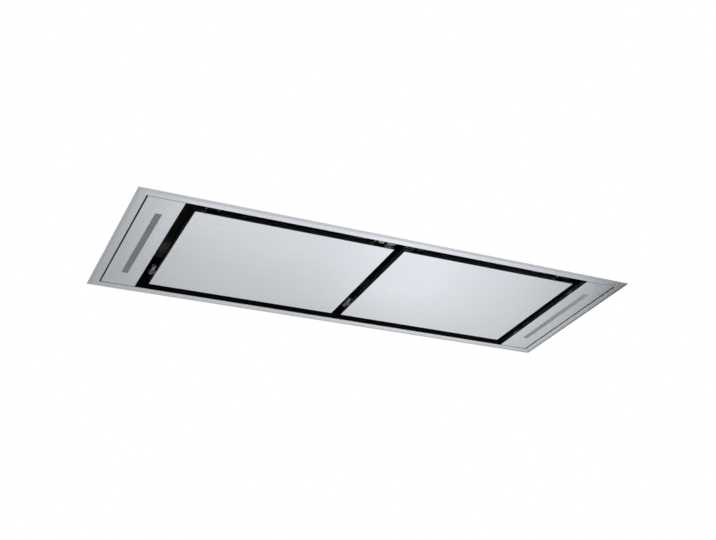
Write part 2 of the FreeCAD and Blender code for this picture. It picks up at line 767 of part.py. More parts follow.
def scroll_outline():
    """The volute's air-side outline: three growing quarter arcs, a rounded tongue and the duct."""
    half = SCROLL_GROWTH / 2
    radius = SCROLL_NEAR + half
    first, second, third = (-half, half), (-half, -half), (half, -half)
    duct_inner = DUCT_Y_INNER - BLOWER_Y
    duct_outer = DUCT_Y_OUTER - BLOWER_Y
    mouth = BOX_RIGHT - BOX_SHEET - BLOWER_X
    rise = duct_inner + TONGUE_RADIUS - first[1]
    reach = math.sqrt((radius + TONGUE_RADIUS) ** 2 - rise ** 2)
    tongue = (first[0] + reach, duct_inner + TONGUE_RADIUS)
    meet = math.degrees(math.atan2(rise, reach))
    edges = [
        Part.makeLine(at_blower(mouth, duct_inner, 0), at_blower(tongue[0], duct_inner, 0)),
        arc(tongue, TONGUE_RADIUS, 270, 180 + meet),
        arc(first, radius, meet, 90),
        arc(second, radius + SCROLL_GROWTH, 90, 180),
        arc(third, radius + 2 * SCROLL_GROWTH, 180, 270),
        Part.makeLine(at_blower(third[0], duct_outer, 0), at_blower(mouth, duct_outer, 0)),
        Part.makeLine(at_blower(mouth, duct_outer, 0), at_blower(mouth, duct_inner, 0)),
    ]
    return Part.Wire(Part.__sortEdges__(edges))


def upright(outline, low, high):
    """A prism on a plan outline between two levels."""
    prism = Part.Face(outline).extrude(Vector(0, 0, high - low))
    prism.translate(Vector(0, 0, low))
    return prism


def scroll_outside(low, high):
    """A prism on the volute's outline grown by its wall, flush with the motor box's wall."""
    prism = upright(scroll_outline().makeOffset2D(SCROLL_WALL), low, high)
    wall = BOX_RIGHT - BOX_SHEET
    return prism.cut(block((wall, wall + 2 * SCROLL_WALL), (-HALF_DEPTH, HALF_DEPTH), (low, high)))


def scroll_body():
    """The volute's wall and floor with a drawn inlet collar, open above and at the duct."""
    body = scroll_outside(CASING_TOP, SCROLL_TOP).cut(upright(scroll_outline(), SCROLL_FLOOR, SCROLL_TOP))
    collar_top = WHEEL_BOTTOM + COLLAR_OVERLAP
    collar = rod(COLLAR_BORE + SCROLL_WALL, at_blower(0, 0, SCROLL_FLOOR), at_blower(0, 0, collar_top))
    eye = rod(COLLAR_BORE, at_blower(0, 0, CASING_TOP), at_blower(0, 0, collar_top))
    return joined([body, collar]).cut(eye)


def scroll_cover():
    """The volute's roof plate, which carries the motor, with the shaft's hole."""
    reach = SCROLL_NEAR + 2 * SCROLL_GROWTH + SCROLL_WALL
    plate = block((BLOWER_X - reach, BOX_RIGHT - BOX_SHEET), (-reach, reach), (SCROLL_TOP, COVER_TOP))
    hole = rod(MOTOR_HOLE_RADIUS, at_blower(0, 0, SCROLL_TOP), at_blower(0, 0, COVER_TOP))
    return plate.cut(hole)


def round_blower(shape, count):
    """Copies of a shape at equal turns round the blower's axis."""
    copies = []
    for k in range(count):
        copy = shape.copy()
        copy.rotate(at_blower(0, 0, 0), Vector(0, 0, 1), k * 360 / count)
        copies.append(copy)
    return copies


def blade():
    """One forward-curved blade as a folded strip between the wheel's eye and rim."""
    lead = math.radians(BLADE_LEAD)
    inner, outer = WHEEL_EYE + BLADE_THICKNESS, WHEEL_RADIUS - BLADE_THICKNESS
    start = Vector(inner, 0, 0)
    chord = Vector(outer * math.cos(lead), outer * math.sin(lead), 0) - start
    across = Vector(chord.y, -chord.x, 0).normalize()
    spine = []
    for k in range(BLADE_FLATS + 1):
        share = k / BLADE_FLATS
        spine.append(start + chord * share + across * (4 * BLADE_BOW * share * (1 - share)))
    half = across * (BLADE_THICKNESS / 2)
    outline = [point + half for point in spine] + [point - half for point in reversed(spine)]
    low, high = WHEEL_BOTTOM + WHEEL_RING / 2, WHEEL_TOP - WHEEL_PLATE / 2
    return polygon_prism([tuple(at_blower(p.x, p.y, low)) for p in outline], (0, 0, high - low))


def impeller():
    """The wheel: a back plate with a hub, a rim ring below and a full turn of blades."""
    plate_low = WHEEL_TOP - WHEEL_PLATE
    plate = rod(WHEEL_RADIUS, at_blower(0, 0, plate_low), at_blower(0, 0, WHEEL_TOP))
    ring = pipe(WHEEL_RADIUS, WHEEL_EYE, at_blower(0, 0, WHEEL_BOTTOM),
                at_blower(0, 0, WHEEL_BOTTOM + WHEEL_RING))
    hub = rod(HUB_RADIUS, at_blower(0, 0, HUB_BOTTOM), at_blower(0, 0, WHEEL_TOP))
    wheel = plate.multiFuse([ring, hub] + round_blower(blade(), BLADE_COUNT))
    bore = rod(SHAFT_RADIUS + HUB_FIT, at_blower(0, 0, HUB_BOTTOM), at_blower(0, 0, WHEEL_TOP))
    return wheel.cut(bore)


def impeller_nut():
    """The hexagon nut under the hub."""
    low = HUB_BOTTOM - NUT_HEIGHT
    nut = hexagon(NUT_ACROSS_FLATS, tuple(at_blower(0, 0, low)), "z", NUT_HEIGHT)
    return nut.cut(rod(SHAFT_RADIUS + HUB_FIT, at_blower(0, 0, low), at_blower(0, 0, HUB_BOTTOM)))


def motor_shaft():
    """The shaft from inside the motor down through the wheel's hub."""
    low = HUB_BOTTOM - NUT_HEIGHT - SHAFT_END
    high = CAN_FLOOR + SHAFT_SEAT - SHAFT_END / 2
    return rod(SHAFT_RADIUS, at_blower(0, 0, low), at_blower(0, 0, high))


def motor_can():
    """The motor's closed can with three lugs and the shaft's bore."""
    can = rod(CAN_RADIUS, at_blower(0, 0, CAN_FLOOR), at_blower(0, 0, CAN_FLOOR + CAN_HEIGHT))
    reach = (BLOWER_X + CAN_RADIUS / 2, BLOWER_X + BUFFER_CIRCLE + BUFFER_SIZE / 2 + LUG_END)
    lug = block(reach, about(BLOWER_Y, LUG_WIDTH), (CAN_FLOOR, CAN_FLOOR + LUG_SHEET))
    seat_top = CAN_FLOOR + SHAFT_SEAT
    bore = rod(SHAFT_RADIUS + RUNNING_GAP, at_blower(0, 0, CAN_FLOOR), at_blower(0, 0, seat_top))
    return joined([can] + round_blower(lug, BUFFER_COUNT)).cut(bore)


def motor_buffers():
    """The rubber buffers between the scroll's roof and the motor's lugs."""
    reach = about(BLOWER_X + BUFFER_CIRCLE, BUFFER_SIZE)
    buffer = block(reach, about(BLOWER_Y, BUFFER_SIZE), (COVER_TOP, CAN_FLOOR))
    return Part.makeCompound(round_blower(buffer, BUFFER_COUNT))


# Motor box

def duct_hole():
    """A block through the motor box's wall at the scroll's mouth."""
    y = (DUCT_Y_OUTER, DUCT_Y_INNER)
    return block((BOX_RIGHT - BOX_SHEET, BOX_RIGHT), y, (SCROLL_FLOOR, SCROLL_TOP))


def motor_box():
    """Four walls with outward flanges on the casing top, open above, with the duct's hole."""
    x, y = (BOX_LEFT, BOX_RIGHT), (-BOX_Y, BOX_Y)
    walls = block(x, y, (CASING_TOP, BOX_TOP))
    foot = block((x[0] - BOX_FLANGE, x[1]), (y[0] - BOX_FLANGE, y[1] + BOX_FLANGE),
                 (CASING_TOP, CASING_TOP + BOX_SHEET))
    inner_x = (x[0] + BOX_SHEET, x[1] - BOX_SHEET)
    inner_y = (y[0] + BOX_SHEET, y[1] - BOX_SHEET)
    inside = block(inner_x, inner_y, (CASING_TOP, BOX_TOP))
    return joined([walls, foot]).cut([inside, duct_hole()])


def motor_box_lid():
    """A flat lid with a rim turned down outside the walls."""
    grow = LID_GAP + BOX_SHEET
    lid = block((BOX_LEFT - grow, BOX_RIGHT + grow), (-BOX_Y - grow, BOX_Y + grow),
                (BOX_TOP - LID_RIM, BOX_TOP + BOX_SHEET))
    return lid.cut(block((BOX_LEFT - LID_GAP, BOX_RIGHT + LID_GAP), (-BOX_Y - LID_GAP, BOX_Y + LID_GAP),
                         (BOX_TOP - LID_RIM, BOX_TOP)))


def capacitor():
    """A box-type run capacitor against the box's left wall, with a fixing ear."""
    wall = BOX_LEFT + BOX_SHEET
    bottom = CASING_TOP + CAPACITOR_LIFT
    y = about(CAPACITOR_Y, CAPACITOR_LENGTH)
    case = block((wall, wall + CAPACITOR_DEPTH), y, (bottom, bottom + CAPACITOR_HEIGHT))
    ear_y = (y[1], y[1] + CAPACITOR_EAR)
    ear = block((wall, wall + BOX_SHEET), ear_y, (bottom, bottom + CAPACITOR_HEIGHT / 2))
    return joined([case, ear])


# Outlet and damper

def round_points(x, radius):
    """Points round a circle facing X, from one corner's direction on, with equal steps."""
    turns = [math.pi / 4 + 2 * math.pi * k / (4 * NECK_FACETS) for k in range(4 * NECK_FACETS)]
    return [Vector(x, SPIGOT_Y + radius * math.cos(t), SPIGOT_Z + radius * math.sin(t)) for t in turns]


def duct_corners(x, grown):
    """The scroll's mouth as four corners facing X, in the same order as the circle's points."""
    y = (DUCT_Y_INNER + grown, DUCT_Y_OUTER - grown)
    z = (SCROLL_TOP + grown, SCROLL_FLOOR - grown)
    return [Vector(x, *corner) for corner in ((y[0], z[0]), (y[1], z[0]), (y[1], z[1]), (y[0], z[1]))]


def neck(grown, radius):
    """A folded square-to-round form: a fan of flats from each corner and a flat on each side."""
    corners = duct_corners(BOX_RIGHT, grown)
    ring = round_points(COLLAR_START, radius)
    count = len(ring)
    faces = [corners, ring]
    for k, corner in enumerate(corners):
        middle = k * NECK_FACETS
        first = middle - NECK_FACETS // 2
        for step in range(first, first + NECK_FACETS):
            faces.append([corner, ring[step % count], ring[(step + 1) % count]])
        faces.append([corner, ring[(first + NECK_FACETS) % count], corners[(k + 1) % 4]])
    shell = Part.Shell([Part.Face(Part.makePolygon(points + points[:1])) for points in faces])
    return Part.Solid(shell)


def damper_pin_ends(reach):
    """The two ends of a rod along the damper's axis."""
    return (FLAP_X, SPIGOT_Y, SPIGOT_Z - reach), (FLAP_X, SPIGOT_Y, SPIGOT_Z + reach)


def outlet_neck():
    """The sheet outlet: a flange on the box and a folded square-to-round neck."""
    margin = SPIGOT_FLANGE_MARGIN + SPIGOT_WALL
    flange_y = (DUCT_Y_OUTER - margin, DUCT_Y_INNER + margin)
    flange = block((BOX_RIGHT, BOX_RIGHT + SPIGOT_FLANGE), flange_y, (CASING_TOP, SCROLL_TOP + margin))
    return joined([flange, neck(SCROLL_PLATE, SPIGOT_RADIUS)]).cut(neck(0, SPIGOT_BORE))


def outlet_spigot():
    """The duct's round collar on a square plate, with slots that seat the damper's pin."""
    plate_x = (COLLAR_START, COLLAR_START + SPIGOT_PLATE)
    plate = block(plate_x, about(SPIGOT_Y, SPIGOT_PLATE_SIZE), about(SPIGOT_Z, SPIGOT_PLATE_SIZE))
    axis = [(x, SPIGOT_Y, SPIGOT_Z) for x in (COLLAR_START, COLLAR_END)]
    width = 2 * (DAMPER_PIN_RADIUS + RUNNING_GAP)
    seat_z = about(SPIGOT_Z, 2 * (SPIGOT_BORE + DAMPER_PIN_SEAT))
    seat = block(about(FLAP_X, width), about(SPIGOT_Y, width), seat_z)
    return joined([plate, rod(SPIGOT_RADIUS, *axis)]).cut([rod(SPIGOT_BORE, *axis), seat])


def damper_pin():
    """The upright pin across the collar, seated in its wall."""
    return rod(DAMPER_PIN_RADIUS, *damper_pin_ends(SPIGOT_BORE + DAMPER_PIN_SEAT - RUNNING_GAP))


def damper_flap(side):
    """A half-round flap with its knuckle on the pin, above or below the other flap's."""
    clear = DAMPER_KNUCKLE_SIZE / math.sqrt(2) + DAMPER_KNUCKLE_GAP / 2
    sheet = about(FLAP_X, FLAP_SHEET)
    disc = rod(FLAP_RADIUS, (sheet[0], SPIGOT_Y, SPIGOT_Z), (sheet[1], SPIGOT_Y, SPIGOT_Z))
    half_y = (SPIGOT_Y + side * clear, SPIGOT_Y + side * FLAP_RADIUS)
    half = disc.common(block(sheet, half_y, about(SPIGOT_Z, 2 * FLAP_RADIUS)))
    middle = SPIGOT_Z + side * (DAMPER_KNUCKLE_LENGTH + DAMPER_KNUCKLE_GAP) / 2
    z = about(middle, DAMPER_KNUCKLE_LENGTH)
    knuckle = block(about(FLAP_X, DAMPER_KNUCKLE_SIZE), about(SPIGOT_Y, DAMPER_KNUCKLE_SIZE), z)
    web = block(sheet, (SPIGOT_Y, SPIGOT_Y + side * clear), z)
    bore = rod(DAMPER_PIN_RADIUS + RUNNING_GAP, *damper_pin_ends(SPIGOT_BORE))
    return joined([half, knuckle, web]).cut(bore)


# Hanging brackets

def hanging_brackets():
    """Four stepped brackets on the casing top, each with a hole for a hanging rod."""
    outer = CASING_X - HANGER_END_INSET
    riser = outer - HANGER_TAB
    top = CASING_TOP + HANGER_RISE
    hole_y = CASING_Y - HANGER_SIDE_INSET - HANGER_WIDTH / 2
    brackets = []
    for side in (-1, 1):
        for y in (-hole_y, hole_y):
            width = about(y, HANGER_WIDTH)
            inner, web_end = side * (riser - HANGER_FOOT), side * (riser + HANGER_SHEET)
            foot = block((inner, web_end), width, (CASING_TOP, CASING_TOP + HANGER_SHEET))
            web = block((side * riser, web_end), width, (CASING_TOP, top))
            tab = block((side * riser, side * outer), width, (top - HANGER_SHEET, top))
            x = side * (outer - (HANGER_TAB - HANGER_SHEET) / 2)
            hole = rod(HANGER_HOLE_RADIUS, (x, y, top - HANGER_SHEET), (x, y, top))
            brackets.append(joined([foot, web, tab]).cut(hole))
    return Part.makeCompound(brackets)


# Control box

def control_plan(grown):
    """Plan limits of the control box, grown on every side."""
    return (CONTROL_LEFT - grown, CONTROL_RIGHT + grown), about(0, CONTROL_DEPTH + 2 * grown)


def gland_axis(start, end):
    """Two points on the gland's axis, given as distances out of the box's left wall."""
    z = CASING_TOP + CONTROL_HEIGHT / 2
    return (CONTROL_LEFT - start, 0, z), (CONTROL_LEFT - end, 0, z)


def board_centre():
    """The control board's middle along X, beside the box's right wall."""
    return CONTROL_RIGHT - CONTROL_SHEET - 2 * STANDOFF_SIZE - CIRCUIT_LENGTH / 2


def control_box():
    """An open box on the casing top with posts for the board and the gland's hole."""
    floor = CASING_TOP + CONTROL_SHEET
    shell = block(*control_plan(0), (CASING_TOP, CONTROL_TOP))
    shell = shell.cut(block(*control_plan(-CONTROL_SHEET), (floor, CONTROL_TOP)))
    z = (floor, floor + STANDOFF_HEIGHT)
    posts = [block(about(x, STANDOFF_SIZE), about(y, STANDOFF_SIZE), z)
             for x in about(board_centre(), CIRCUIT_LENGTH - 2 * STANDOFF_SIZE)
             for y in about(0, CIRCUIT_DEPTH - 2 * STANDOFF_SIZE)]
    hole = rod(GLAND_RADIUS + GLAND_GAP, *gland_axis(-CONTROL_SHEET, 0))
    return joined([shell] + posts).cut(hole)


def control_box_lid():
    """The control box's lid with a rim outside its walls."""
    low, top = CONTROL_TOP - CONTROL_RIM, CONTROL_TOP + CONTROL_SHEET
    lid = block(*control_plan(LID_GAP + CONTROL_SHEET), (low, top))
    return lid.cut(block(*control_plan(LID_GAP), (low, CONTROL_TOP)))


def control_board():
    """The control board with its relays and transformer."""
    low = CASING_TOP + CONTROL_SHEET + STANDOFF_HEIGHT
    top = low + CIRCUIT_THICKNESS
    x = board_centre()
    board = block(about(x, CIRCUIT_LENGTH), about(0, CIRCUIT_DEPTH), (low, top))
    relay_y = about(-CIRCUIT_DEPTH / 4, RELAY_SIZE)
    relays = [block(about(x + k * RELAY_PITCH, RELAY_SIZE), relay_y, (top, top + RELAY_SIZE))
              for k in (-1, 0, 1)]
    core_y = about(CIRCUIT_DEPTH / 4, TRANSFORMER_DEPTH)
    core = block(about(x, TRANSFORMER_LENGTH), core_y, (top, top + TRANSFORMER_HEIGHT))
    return joined([board, core] + relays)


def terminal_block():
    """The mains terminal strip on the box's floor, with a wire entry in each way."""
    floor = CASING_TOP + CONTROL_SHEET
    x = CONTROL_LEFT + CONTROL_SHEET + GLAND_LOCKNUT + TERMINAL_DEPTH
    strip = block(about(x, TERMINAL_DEPTH), about(0, TERMINAL_LENGTH), (floor, floor + TERMINAL_HEIGHT))
    pitch = TERMINAL_LENGTH / TERMINAL_WAYS
    entry_x = (x - TERMINAL_DEPTH / 2, x - TERMINAL_DEPTH / 4)
    entry_z = about(floor + TERMINAL_HEIGHT / 2, pitch / 2)
    entries = []
    for k in range(TERMINAL_WAYS):
        y = (k - (TERMINAL_WAYS - 1) / 2) * pitch
        entries.append(block(entry_x, about(y, pitch / 2), entry_z))
    return strip.cut(entries)


def led_driver():
    """The lamps' sealed supply on the box's floor, along its far wall."""
    floor = CASING_TOP + CONTROL_SHEET
    middle = (CONTROL_LEFT + CONTROL_RIGHT) / 2
    wall = CONTROL_DEPTH / 2 - CONTROL_SHEET
    return block(about(middle, DRIVER_LENGTH), (wall, wall - DRIVER_DEPTH), (floor, floor + DRIVER_HEIGHT))


def cable_gland():
    """The mains inlet: hexagons outside the wall, a round neck through it and a locknut inside."""
    inside = -CONTROL_SHEET - GLAND_LOCKNUT
    outside = GLAND_HEX_LENGTH + GLAND_NOSE
    pieces = [
        rod(GLAND_RADIUS, *gland_axis(-CONTROL_SHEET, 0)),
        hexagon(GLAND_HEX, gland_axis(GLAND_HEX_LENGTH, 0)[0], "x", GLAND_HEX_LENGTH),
        hexagon(GLAND_NOSE_HEX, gland_axis(outside, 0)[0], "x", GLAND_NOSE),
        hexagon(GLAND_HEX, gland_axis(-CONTROL_SHEET, 0)[0], "x", GLAND_LOCKNUT),
    ]
    return joined(pieces).cut(rod(GLAND_BORE, *gland_axis(inside, outside)))


def all_parts():
    """Every piece by its node's name."""
    parts = {
        "trim_frame": mitred(flange_ring()),
        "frame_skirt": mitred(skirt_ring()),
        "ceiling_seal": ceiling_seal(),
        "casing_shell": casing_shell(),
        "near_casing_side": casing_side(-1),
        "far_casing_side": casing_side(1),
        "near_liner": liner(-1),
        "far_liner": liner(1),
        "filter_carrier": filter_carrier(),
        "light_panel_clips": light_panel_clips(),
        "hinge_brackets": hinge_brackets(),
        "hinge_pins": hinge_pins(),
        "catch_brackets": catch_brackets(),
        "catch_magnets": catch_magnets(),
        "scroll_body": scroll_body(),
        "scroll_cover": scroll_cover(),
        "impeller": impeller(),
        "impeller_nut": impeller_nut(),
        "motor_shaft": motor_shaft(),
        "motor_can": motor_can(),
        "motor_buffers": motor_buffers(),
        "motor_box": motor_box(),
        "motor_box_lid": motor_box_lid(),
        "capacitor": capacitor(),
        "outlet_neck": outlet_neck(),
        "outlet_spigot": outlet_spigot(),
        "damper_pin": damper_pin(),
        "damper_flap_near": damper_flap(-1),
        "damper_flap_far": damper_flap(1),
        "hanging_brackets": hanging_brackets(),
        "control_box": control_box(),
        "control_box_lid": control_box_lid(),
        "control_board": control_board(),
        "terminal_block": terminal_block(),
        "led_driver": led_driver(),
        "cable_gland": cable_gland(),
    }
    paired = {
        "casing_end": casing_end,
        "partition": partition,
        "light_panel": light_panel,
        "led_diffuser": led_diffuser,
        "led_profile": led_profile,
        "led_board": led_board,
        "suction_panel": suction_panel,
        "hinge_leaves": hinge_leaves,
        "filter_frame": filter_frame,
        "filter_baffle": filter_baffle,
        "filter_latch": filter_latch,
    }
    for name, build in paired.items():
        for side, shape in sides(build).items():
            parts[f"{side}_{name}"] = shape
    return parts


os.makedirs("parts", exist_ok=True)
for node, shape in all_parts().items():
    shape.exportStep(f"parts/{node}.step")
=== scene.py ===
import json
import math

import bmesh
import bpy
from mathutils import Matrix, Quaternion, Vector

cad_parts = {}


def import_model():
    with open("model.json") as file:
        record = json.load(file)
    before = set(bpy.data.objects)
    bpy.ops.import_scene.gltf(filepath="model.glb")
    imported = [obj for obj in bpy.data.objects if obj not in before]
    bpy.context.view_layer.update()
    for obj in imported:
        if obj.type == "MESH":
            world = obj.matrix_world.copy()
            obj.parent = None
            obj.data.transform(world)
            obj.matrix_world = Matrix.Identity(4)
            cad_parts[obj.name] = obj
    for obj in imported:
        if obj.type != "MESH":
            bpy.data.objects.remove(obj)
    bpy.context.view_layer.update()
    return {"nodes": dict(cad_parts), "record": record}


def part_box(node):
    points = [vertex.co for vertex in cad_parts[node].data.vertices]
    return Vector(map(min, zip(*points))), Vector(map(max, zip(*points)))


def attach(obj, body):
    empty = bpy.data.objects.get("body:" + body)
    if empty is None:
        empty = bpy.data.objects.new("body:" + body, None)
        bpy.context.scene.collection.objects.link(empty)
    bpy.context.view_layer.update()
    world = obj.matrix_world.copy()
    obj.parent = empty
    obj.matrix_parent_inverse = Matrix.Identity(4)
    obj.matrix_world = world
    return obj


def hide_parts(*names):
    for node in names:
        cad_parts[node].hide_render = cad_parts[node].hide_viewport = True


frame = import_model()

MM = 0.001
SIDES = {"left": -1, "right": 1}
LEFT, RIGHT = (-1, 0, 0), (1, 0, 0)
NEAR, FAR = (0, -1, 0), (0, 1, 0)
UP = (0, 0, 1)

# The photograph's view, in metres in the part's own frame
CAMERA_PLACE = (-1.02697, -1.92736, -1.13929)
CAMERA_RIGHT = (0.89831, -0.43574, -0.05636)
CAMERA_UP = (-0.16261, -0.44888, 0.87867)
LENS_MM = 53.0
SENSOR_MM = 36.0

# Surroundings
FLOOR_LEVEL = -3.2
FLOOR_SIZE = 600.0
FLOOR_COLOUR = (0.80, 0.80, 0.80)
FLAG_COLOUR = (0.03, 0.03, 0.03)
MATT = 0.9
WHITE = (1, 1, 1, 1)
AMBIENT = 0.80
CEILING_REACH = 8.0
PART_MIDDLE = (0, 0, 0.1)

# Steps of round forms, and the angles past which edges stay sharp
ROUND = 24
PIN_ROUND = 20
RIVET_ROUND = 16
WIRE_ROUND = 8
HEXAGON = 6
COIL_STEPS = 20
NODE_SHARP = math.radians(25)
PIECE_SHARP = math.radians(32)

# Heads of screws and rivets, as shares of their width or radius, outwards and upwards
SCREW_FLANGE = ((0, 0), (0.68, 0), (0.66, 0.07), (0.5, 0.12), (0, 0.12))
SCREW_HEAD = ((0, 0.1), (1, 0.1), (1, 0.46), (0.86, 0.56), (0, 0.56))
RIVET_RISE = 0.42
RIVET_RIM = 0.25
RIVET_DOME = (0.4, 0.8, 1.1)
RIVET_DIMPLE = ((0.36, 0.96), (0.3, 0.7), (0, 0.7))

# Screws, rivets and bolts on the casing
LID_SCREW = 7.0 * MM
LID_SCREWS = {"motor_box_lid": (4, 3), "control_box_lid": (2, 2)}
LID_SCREW_LEVEL = 5.5 * MM
SCREW_INSET = 40.0 * MM
FOOT_SCREWS = (4, 3)
FOOT_SHEET = 1.0 * MM
FOOT_EDGE = 6.0 * MM
RIVET = 3.2 * MM
SKIRT_RIVETS = (9, 4)
SKIRT_RIVET_LEVEL = 16.0 * MM
SKIRT_RIVET_INSET = 60.0 * MM
CASING_LAP = 7.0 * MM
TOP_RIVETS = 6
TOP_RIVET_INSET = 36.0 * MM
WALL_RIVETS = 3
WALL_RIVET_START = 40.0 * MM
WALL_RIVET_INSET = 10.0 * MM
HANGER_BOLT = 9.1 * MM
HANGER_BOLT_END = 45.0 * MM
HANGER_BOLT_SIDE = 20.0 * MM
HANGER_BOLT_OFFSET = 10.0 * MM
HANGER_SHEET = 2.5 * MM
NECK_RIVET = 1.9 * MM
NECK_RIVET_RISES = (12.0 * MM, 55.0 * MM, 98.0 * MM)
NECK_RIVET_INSET = 15.2 * MM
NECK_LIP = 3.0 * MM

# Hinge pins, leaves and springs
PINS_LOW, PINS_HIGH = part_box("hinge_pins")
HINGE_Y = (PINS_LOW.y + PINS_HIGH.y) / 2
HINGE_Z = (PINS_LOW.z + PINS_HIGH.z) / 2
PIN_RADIUS = 2.5 * MM
PIN_LENGTH = 27.0 * MM
PIN_NECK = 0.3 * MM
PIN_HEAD = 3.8 * MM
PIN_CROWN = ((1.0, 0.0), (1.0, 0.7 * MM), (0.8, 1.3 * MM), (0.4, 1.6 * MM), (0.0, 1.7 * MM))
LEAF_WIDTH = 24.0 * MM
LEAF_SHEET = 1.5 * MM
KNUCKLE_WIDTH = 4.0 * MM
KNUCKLE_RADIUS = 4.5 * MM
KNUCKLE_GAP = 0.1 * MM
SPRING_TURNS = 4
SPRING_GAP = 0.5 * MM
ARM_ANGLE = math.pi / 2
HINGE_SPRING_LENGTH = 19.0 * MM
HINGE_SPRING_RADIUS = 4.5 * MM
HINGE_WIRE = 1.15 * MM
ROD_LENGTH = 21.4 * MM
LEAF_SPRING_RADIUS = 4.4 * MM
LEAF_WIRE = 1.0 * MM
LEAF_ARM_SEAT = 1.5 * MM

# Sprung buffers on the panels
BUFFER_STANDOFF = 8.4 * MM
BUFFER_Z = 7.5 * MM
BUFFER_START = 88.0 * MM
BARREL_START = 109.0 * MM
BARREL_END = 131.0 * MM
BUFFER_RADIUS = 5.4 * MM
BUFFER_FACE = 0.6 * BUFFER_RADIUS
BUFFER_ROUNDING = 0.8 * MM
BUFFER_PLATE = 2.0 * MM
BUFFER_TAPER = 0.2 * MM
BUFFER_ROD = 1.6 * MM
BUFFER_TURNS = 3
BUFFER_WIRE = 0.8 * MM
BARREL_RIM = 0.9 * BUFFER_RADIUS
BARREL_CHAMFER = 0.6 * MM
TAIL_RADIUS = 1.4 * BUFFER_ROD
TAIL_LENGTH = 3.0 * MM
SADDLE_INSET = 1.0 * MM
SADDLE_GRIP = 0.92
SADDLE_HALF_HEIGHT = 4.0 * MM
SADDLE_BEND = 1.2 * MM

# Expanded mesh on the filters
MESH_PITCH = 10.0 * MM
MESH_STRAND = 0.9 * MM
MESH_SHEET = 0.6 * MM
MESH_STEP = 0.5 * MM
MESH_GAP = 1.0 * MM
MESH_LEFT = 2.0 * MM
MESH_NEAR = 23.0 * MM
MESH_MARGIN = 24.0 * MM

# Colours, and how much the record's colours are darkened
STEEL = (0.575, 0.600, 0.636)
DIFFUSER = (0.166, 0.169, 0.180)
GREY = (0.10, 0.102, 0.106)
# Near black for the zinc hinge leaves and spring rods: painted shade, so that they stay dark in the slot.
BLACK = (0.012, 0.0124, 0.0135)
STREAK = 0.009
DIRT_SHARE = 0.4
# The trim frame's short sides are tinted darker: painted shade that stands in for their different
# reflection across the grain.
PAINTED_END_SHADE = 0.98
GALVANISED_TONE = 0.80
LINING_TONE = 0.60
FILTER_TONE = 0.75

# Streaks of brushed steel in a metre, across the grain and along it
FINE_GRAIN = (1400.0, 7.0)
BROAD_GRAIN = (90.0, 1.5)

# Places of a mix node's two inputs and its output, by kind
MIX_SOCKETS = {"FLOAT": (2, 3, 0), "RGBA": (6, 7, 2)}


# Node helpers

def material(name, colour, metallic, roughness):
    """A new Principled material with its plain values set on the shader."""
    made = bpy.data.materials.new(name)
    made.use_nodes = True
    shader = made.node_tree.nodes["Principled BSDF"]
    shader.inputs["Base Color"].default_value = (*colour, 1.0)
    shader.inputs["Metallic"].default_value = metallic
    shader.inputs["Roughness"].default_value = roughness
    return made, made.node_tree, shader


def node(tree, kind, **settings):
    """A node with its own settings, and its inputs by name."""
    made = tree.nodes.new(kind)
    for name, value in settings.items():
        if name in made.inputs:
            made.inputs[name].default_value = value
        else:
            setattr(made, name, value)
    return made


def feed(tree, value, socket):
    """Gives a socket another node's output, a colour or a number."""
    if isinstance(value, bpy.types.NodeSocket):
        tree.links.new(value, socket)
    elif isinstance(value, tuple):
        socket.default_value = (*value, 1.0)
    else:
        socket.default_value = value


def texture(tree, kind, stretch=(1, 1, 1), **settings):
    """A texture's outputs, in the piece's own coordinates stretched by axis."""
    made = node(tree, kind, **settings)
    mapping = node(tree, "ShaderNodeMapping", Scale=stretch)
    feed(tree, node(tree, "ShaderNodeTexCoord").outputs["Object"], mapping.inputs["Vector"])
    feed(tree, mapping.outputs["Vector"], made.inputs["Vector"])
    return made.outputs


def noise(tree, scale, detail, stretch=(1, 1, 1)):
    """A noise pattern's value."""
    return texture(tree, "ShaderNodeTexNoise", stretch, Scale=scale, Detail=detail)["Fac"]


def ramp(tree, value, low, high, start=0.3, end=0.7):
    """A value carried from one range to another."""
    made = node(tree, "ShaderNodeMapRange")
    made.inputs["From Min"].default_value = start
    made.inputs["From Max"].default_value = end
    made.inputs["To Min"].default_value = low
    made.inputs["To Max"].default_value = high
    feed(tree, value, made.inputs["Value"])
    return made.outputs["Result"]


def mix(tree, kind, factor, first, second):
    """A number or colour between two, by a factor from 0 to 1."""
    made = node(tree, "ShaderNodeMix", data_type=kind)
    first_at, second_at, result_at = MIX_SOCKETS[kind]
    feed(tree, factor, made.inputs[0])
    feed(tree, first, made.inputs[first_at])
    feed(tree, second, made.inputs[second_at])
    return made.outputs[result_at]


def maths(tree, operation, *values):
    """One sum on numbers or sockets."""
    made = node(tree, "ShaderNodeMath", operation=operation)
    for socket, value in zip(made.inputs, values):
        feed(tree, value, socket)
    return made.outputs["Value"]


def tint(colour, factor):
    """A colour made darker or lighter."""
    return tuple(min(1.0, channel * factor) for channel in colour)


def shaded(tree, value, colour, dark, light):
    """A colour between a dark and a light tint of one, by a value from 0 to 1."""
    return mix(tree, "RGBA", value, tint(colour, dark), tint(colour, light))


def bump(tree, shader, height, depth, strength):
    """A height pattern as the shader's bump, with its depth in metres."""
    made = node(tree, "ShaderNodeBump", Strength=strength, Distance=depth)
    feed(tree, height, made.inputs["Height"])
    feed(tree, made.outputs["Normal"], shader.inputs["Normal"])


# Materials

def grain(tree, streaks, along, detail):
    """Brushed streaks that run along one axis, as a value."""
    across, lengthwise = streaks
    stretch = [lengthwise if axis == along else across for axis in "xyz"]
    return noise(tree, 1.0, detail, stretch)


